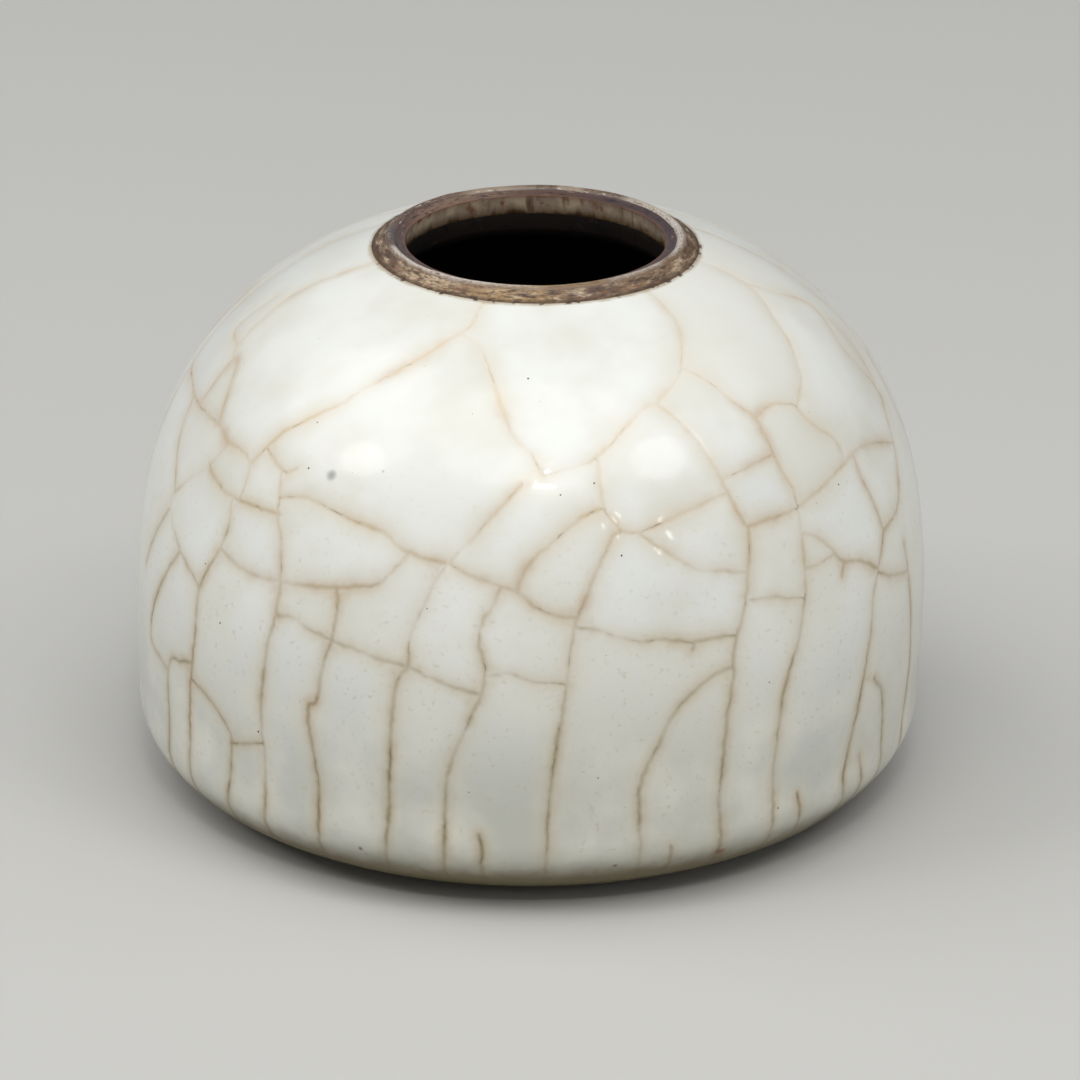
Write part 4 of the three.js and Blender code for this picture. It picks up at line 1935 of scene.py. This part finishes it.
# The iron dressing outside the bead, where thin glaze has turned it to mottled tan and ochre
COLLAR_DRESSING = MouthFinish(
    name="iron_dressing_brushed_and_fired_under_the_rim",
    roughness=0.55,
    drift=0.05,
    round_stops=(
        (-180, "#5f4b38"), (-132, "#54413a"), (-104, "#4a3b3c"), (-98, "#423a3a"),
        (-72, "#4a3f3c"), (-62, "#7d6550"), (-50, "#bda78c"), (-38, "#b39a7a"),
        (-28, "#8f7355"), (-14, "#ae9064"), (2, "#a08255"), (14, "#6b5543"),
        (30, "#5f4c3d"), (38, "#8a7054"), (50, "#6b5643"), (66, "#8c7a62"),
        (78, "#5b4835"), (104, "#463827"), (150, "#52402f"), (180, "#5f4b38"),
    ),
    spot="#412e22",
    spot_size=1.5,
    spot_levels=(0.42, 0.74),
    fine="#7a573a",
    fine_levels=(0.42, 0.68),
    pale="#c8b498",
    pale_levels=(0.42, 0.74),
    outer_edge=(18.7, 19.15, "#54402f"),
    edge_amount=0.85,
    fray=0.8,
    dots_from=18.8,
    dot="#4a382c",
    bump_depth=0.12,
)


@dataclass(frozen=True)
class EarthFinish(Finish):
    """A finish of one ground colour with grains and stains: clay, the painted-shade inside, specks and the
    iron at the foot.
    """

    ground: str = "#554a38"
    stain: str = "#4c4630"
    stain_size: float = 7.0
    grain: str = "#2f271e"
    grain_size: float = 0.9
    grain_levels: tuple[float, float] = (0.6, 0.7)
    pale_grain: str = "#7d6a50"
    bump_depth: float = 0.1

    def paint(self, tree: Tree) -> dict[str, Socket | float]:
        """Paints the stains and the grains.

        Args:
            tree: the material's tree.

        Returns:
            A value or a socket for each input of the shader that it sets.
        """
        point = add(tree, "ShaderNodeTexCoord", out=3)
        stains = self.spots(tree, point, self.stain_size, 0.35, 0.65)
        dark = self.spots(tree, point, self.grain_size, *self.grain_levels)
        pale = self.spots(tree, point, self.grain_size * 1.6, 0.62, 0.7)
        layers = ((stains, self.stain), (pale, self.pale_grain), (dark, self.grain))
        color = self.layer(tree, self.ground, layers)
        rough = add(tree, NOISE, {"Vector": point, "Scale": per_metre(self.grain_size), "Detail": 4.0})
        bump = add(tree, BUMP, {"Strength": 0.6, "Distance": self.bump_depth * MM, "Height": rough})
        return {"Base Color": color, "Normal": bump}


# Iron dressing over the heel, brushed thin and fired to a satin olive brown
FOOT_DRESSING = EarthFinish(
    name="iron_dressing_brushed_and_fired_at_the_foot",
    roughness=0.48,
    ground="#6f6746",
    stain="#635a3d",
    grain="#453b29",
    pale_grain="#857a56",
    bump_depth=0.08,
)

# Unglazed stoneware, dry and sandy, burnt brown in the fire
BARE_STONEWARE = EarthFinish(
    name="bare_stoneware_thrown_and_fired",
    roughness=0.88,
    ground="#5a4535",
    stain="#4a382b",
    grain="#2c221b",
    grain_size=0.6,
    pale_grain="#8b745a",
    bump_depth=0.14,
)

# A near-black coat inside with a dull sheen: painted shade, for the pot's unlit inside
INSIDE_PAINTED_SHADE = EarthFinish(
    name="near_black_inside_painted_shade",
    roughness=0.5,
    ground="#16110e",
    stain="#1d1612",
    stain_size=12.0,
    grain="#0e0b09",
    pale_grain="#2b2119",
    bump_depth=0.06,
)

# Iron that boiled up through the glaze, fired to a glossy dark brown
IRON_SPECK = EarthFinish(
    name="iron_speck_melted_through_the_glaze",
    roughness=0.3,
    ground="#5a4e42",
    stain="#40362c",
    stain_size=20.0,
    grain="#3a3028",
    pale_grain="#5a4e42",
    bump_depth=0.01,
)


@dataclass(frozen=True)
class BaseGlaze(Finish):
    """The same milky glaze poured over the recessed base, with its own small crackle."""

    name: str = "feldspar_glaze_poured_on_the_base"
    roughness: float = 0.16
    ior: float = 1.52
    ground: str = "#dfe0d8"
    cloud: str = "#d2ccba"
    halo: str = "#b19c70"
    core: str = "#7d6a4e"
    cell_size: float = 11.0
    edge: str = "#5d4c35"
    edge_radius: float = 32.2
    axis_shift: float = -0.25

    def paint(self, tree: Tree) -> dict[str, Socket | float]:
        """Paints a crackle of cells about as wide as those of the wall, and the stained edge.

        Args:
            tree: the material's tree.

        Returns:
            A value or a socket for each input of the shader that it sets.
        """
        point, _, radius, _ = find_place(tree, self.axis_shift)
        new = partial(add, tree)
        bend = new(NOISE, {"Vector": point, "Scale": per_metre(9), "Detail": 2.0}, out=1)
        pull = new(VECTOR_MATH, {0: bend, "Scale": 3.5 * MM}, operation="SCALE")
        bent = new(VECTOR_MATH, (point, pull), **PLUS)
        cells = {"Vector": bent, "Scale": per_metre(self.cell_size)}
        gap = new(VORONOI, cells, feature="DISTANCE_TO_EDGE")
        halo = new(RANGE, (gap, 0.0, 0.13, 0.5, 0.0), **SMOOTH)
        line = new(RANGE, (gap, 0.006, 0.032, 0.75, 0.0), **SMOOTH)
        clouds = self.spots(tree, point, 18, 0.4, 0.7)
        frayed = new(MATH, (clouds, 0.8, radius), **TIMES_PLUS)
        edge = new(RANGE, (frayed, self.edge_radius - 0.6, self.edge_radius + 0.4))
        layers = ((clouds, self.cloud), (halo, self.halo), (line, self.core), (edge, self.edge))
        color = self.layer(tree, self.ground, layers)
        bump = new(BUMP, {"Strength": 0.4, "Distance": 0.08 * MM, "Height": gap})
        return {"Base Color": color, "Normal": bump}


# The studio


@dataclass(frozen=True)
class Lamp:
    """A soft box that faces the pot."""

    name: str
    azimuth: float
    elevation: float
    distance: float
    width: float
    height: float
    power: float


@dataclass
class Studio:
    """A pale floor, soft boxes and an even surround."""

    floor_width: float = 6.0
    paper: Finish = Finish("pale_paper_rolled_matt", "#c8c7c3", 0.8)
    surround: str = "#d6d8da"
    surround_strength: float = 0.35
    aim_height: float = 0.045
    lamps: tuple[Lamp, ...] = (
        Lamp("overhead_box", 2, 66, 1.3, 1.3, 1.1, 7.12),
        Lamp("left_box", -90, 50, 1.3, 1.2, 1.0, 5.11),
        Lamp("far_right_box", 92, 56, 1.3, 1.2, 1.0, 2.22),
        Lamp("right_box", 54, 47, 1.3, 0.42, 0.36, 1.6),
        Lamp("left_window", -66, 40, 1.2, 0.3, 0.26, 0.9),
        Lamp("small_front_lamp", 2, 47, 1.2, 0.15, 0.04, 1.2),
        Lamp("small_low_lamp", 25, 30, 1.2, 0.02, 0.1, 0.2),
        Lamp("small_right_lamp", 43, 22, 1.2, 0.02, 0.14, 0.24),
    )

    CORNERS = ((-1, -1), (1, -1), (1, 1), (-1, 1))

    def build(self) -> None:
        """Builds the floor, the lamps and the surround."""
        self._floor()
        for lamp in self.lamps:
            self._lamp(lamp)
        world = bpy.data.worlds.new("surround")
        world.use_nodes = True
        background = world.node_tree.nodes["Background"]
        background.inputs["Color"].default_value = linear(self.surround)
        background.inputs["Strength"].default_value = self.surround_strength
        bpy.context.scene.world = world
        bpy.context.scene.view_settings.view_transform = "Standard"

    def _floor(self) -> None:
        """Lays the floor under the pot."""
        mesh = bpy.data.meshes.new("floor")
        corners = [(x * self.floor_width / 2, y * self.floor_width / 2, 0) for x, y in self.CORNERS]
        mesh.from_pydata(corners, [], [(0, 1, 2, 3)])
        floor = new_object("floor", mesh)
        mesh.materials.append(self.paper.build())

    def _lamp(self, lamp: Lamp) -> None:
        """Hangs one soft box and turns it to the pot.

        Args:
            lamp: its place, size and power.
        """
        data = bpy.data.lights.new(lamp.name, "AREA")
        data.shape = "ELLIPSE"
        data.size, data.size_y = lamp.width, lamp.height
        data.energy = lamp.power
        light = new_object(lamp.name, data)
        around, above = math.radians(lamp.azimuth), math.radians(lamp.elevation)
        flat = math.cos(above)
        out = Vector((math.sin(around) * flat, -math.cos(around) * flat, math.sin(above)))
        light.location = out * lamp.distance + Vector((0, 0, self.aim_height))
        light.rotation_euler = out.to_track_quat("Z", "Y").to_euler()


# The pot

# Smudges on the glaze, read off the photograph: pixel, size in millimetres and colour
SMUDGE_MARKS = (
    ((333, 475), 1.05, "#999c94"),
    ((384, 471), 0.35, "#a5a79f"),
    ((598, 778), 0.22, "#6a5f50"),
    ((469, 792), 0.22, "#6a5f50"),
    ((769, 682), 0.2, "#6a5f50"),
    ((778, 808), 0.22, "#6a5f50"),
    ((720, 851), 0.9, "#7a4a32"),
    ((361, 848), 0.5, "#6b4a40"),
    ((615, 866), 0.5, "#6b4a40"),
)


@dataclass
class BrushWasher:
    """The pot: its clay, its coats and the specks on them."""

    sizes: PotSizes
    stance: Stance
    camera: MatchedCamera
    clay_facets: int = 180
    floor_ring_depth: float = 0.07
    floor_ring_spacing: float = 3.2

    def __post_init__(self) -> None:
        """Draws the section and breaks up the glaze."""
        self.section = Section(self.sizes)
        self.skin = Skin(self.section.faces[Coat.OUTER_GLAZE], self.stance)
        self.net = CrackNet(self.skin, self.camera)

    def build(self) -> None:
        """Builds every piece, puts it on the pot's body and lets it stand for its solid."""
        coats = {
            # the inside is painted near-black, as shade
            Coat.INNER_SLIP: ("dark_slip", INSIDE_PAINTED_SHADE),
            Coat.NECK_GLAZE: ("neck_glaze", NeckGlaze()),
            Coat.LIP_BAND: ("lip_iron_dressing", LIP_DRESSING),
            Coat.RIM_BEAD: ("bead_glaze", BEAD_GLAZE),
            Coat.COLLAR_BAND: ("collar_iron_dressing", COLLAR_DRESSING),
            Coat.FOOT_BAND: ("foot_iron_dressing", FOOT_DRESSING),
            Coat.BASE_GLAZE: ("base_glaze", BaseGlaze()),
        }
        for coat, (slot, finish) in coats.items():
            turned = TurnedCoat(coat.value, self.section.loop(coat), self.stance)
            if coat in (Coat.INNER_SLIP, Coat.BASE_GLAZE):
                turned.ring_depth, turned.ring_spacing = self.floor_ring_depth, self.floor_ring_spacing
            if coat is Coat.INNER_SLIP:
                turned.facets = self.clay_facets
            self._hand_in(turned.build(finish.build()), slot, coat.value)
        clay = TurnedCoat("clay_body", self.section.clay_loop(), self.stance, facets=self.clay_facets)
        self._hand_in(clay.build(BARE_STONEWARE.build()), "brown_stoneware", "clay_body")
        smudges = []
        for pixel, size, code in SMUDGE_MARKS:
            spot = np.array([self.camera.spot(pixel, self.skin)])
            smudges.append((tuple(self.skin.place(spot)[0] * MM), size, code))
        finish = CrackledGlaze(smudges=tuple(smudges))
        glaze = CrackledCoat(self.section, self.net).build(finish.build())
        specks = IronSpecks().build(glaze, IRON_SPECK.build())
        self._hand_in(glaze, "crackled_glaze", Coat.OUTER_GLAZE.value)
        self._hand_in(specks, "foot_iron_dressing")

    def _hand_in(self, piece: Piece, slot: str, node: str | None = None) -> None:
        """Puts a piece on the body, and reports it.

        Args:
            piece: the finished piece.
            slot: the name of its finish, which is logged.
            node: the solid that it stands for.
        """
        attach(piece, BODY)
        if node:
            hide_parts(node)
        LOG.info("%s: %d faces, in %s", piece.name, len(piece.data.polygons), slot)


def main() -> None:
    """Builds the studio and the pot."""
    logging.basicConfig(level=logging.INFO, format="%(name)s: %(message)s")
    camera = MatchedCamera()
    camera.create()
    Studio().build()
    BrushWasher(PotSizes(), Stance(), camera).build()


if __name__ == "__main__":
    main()
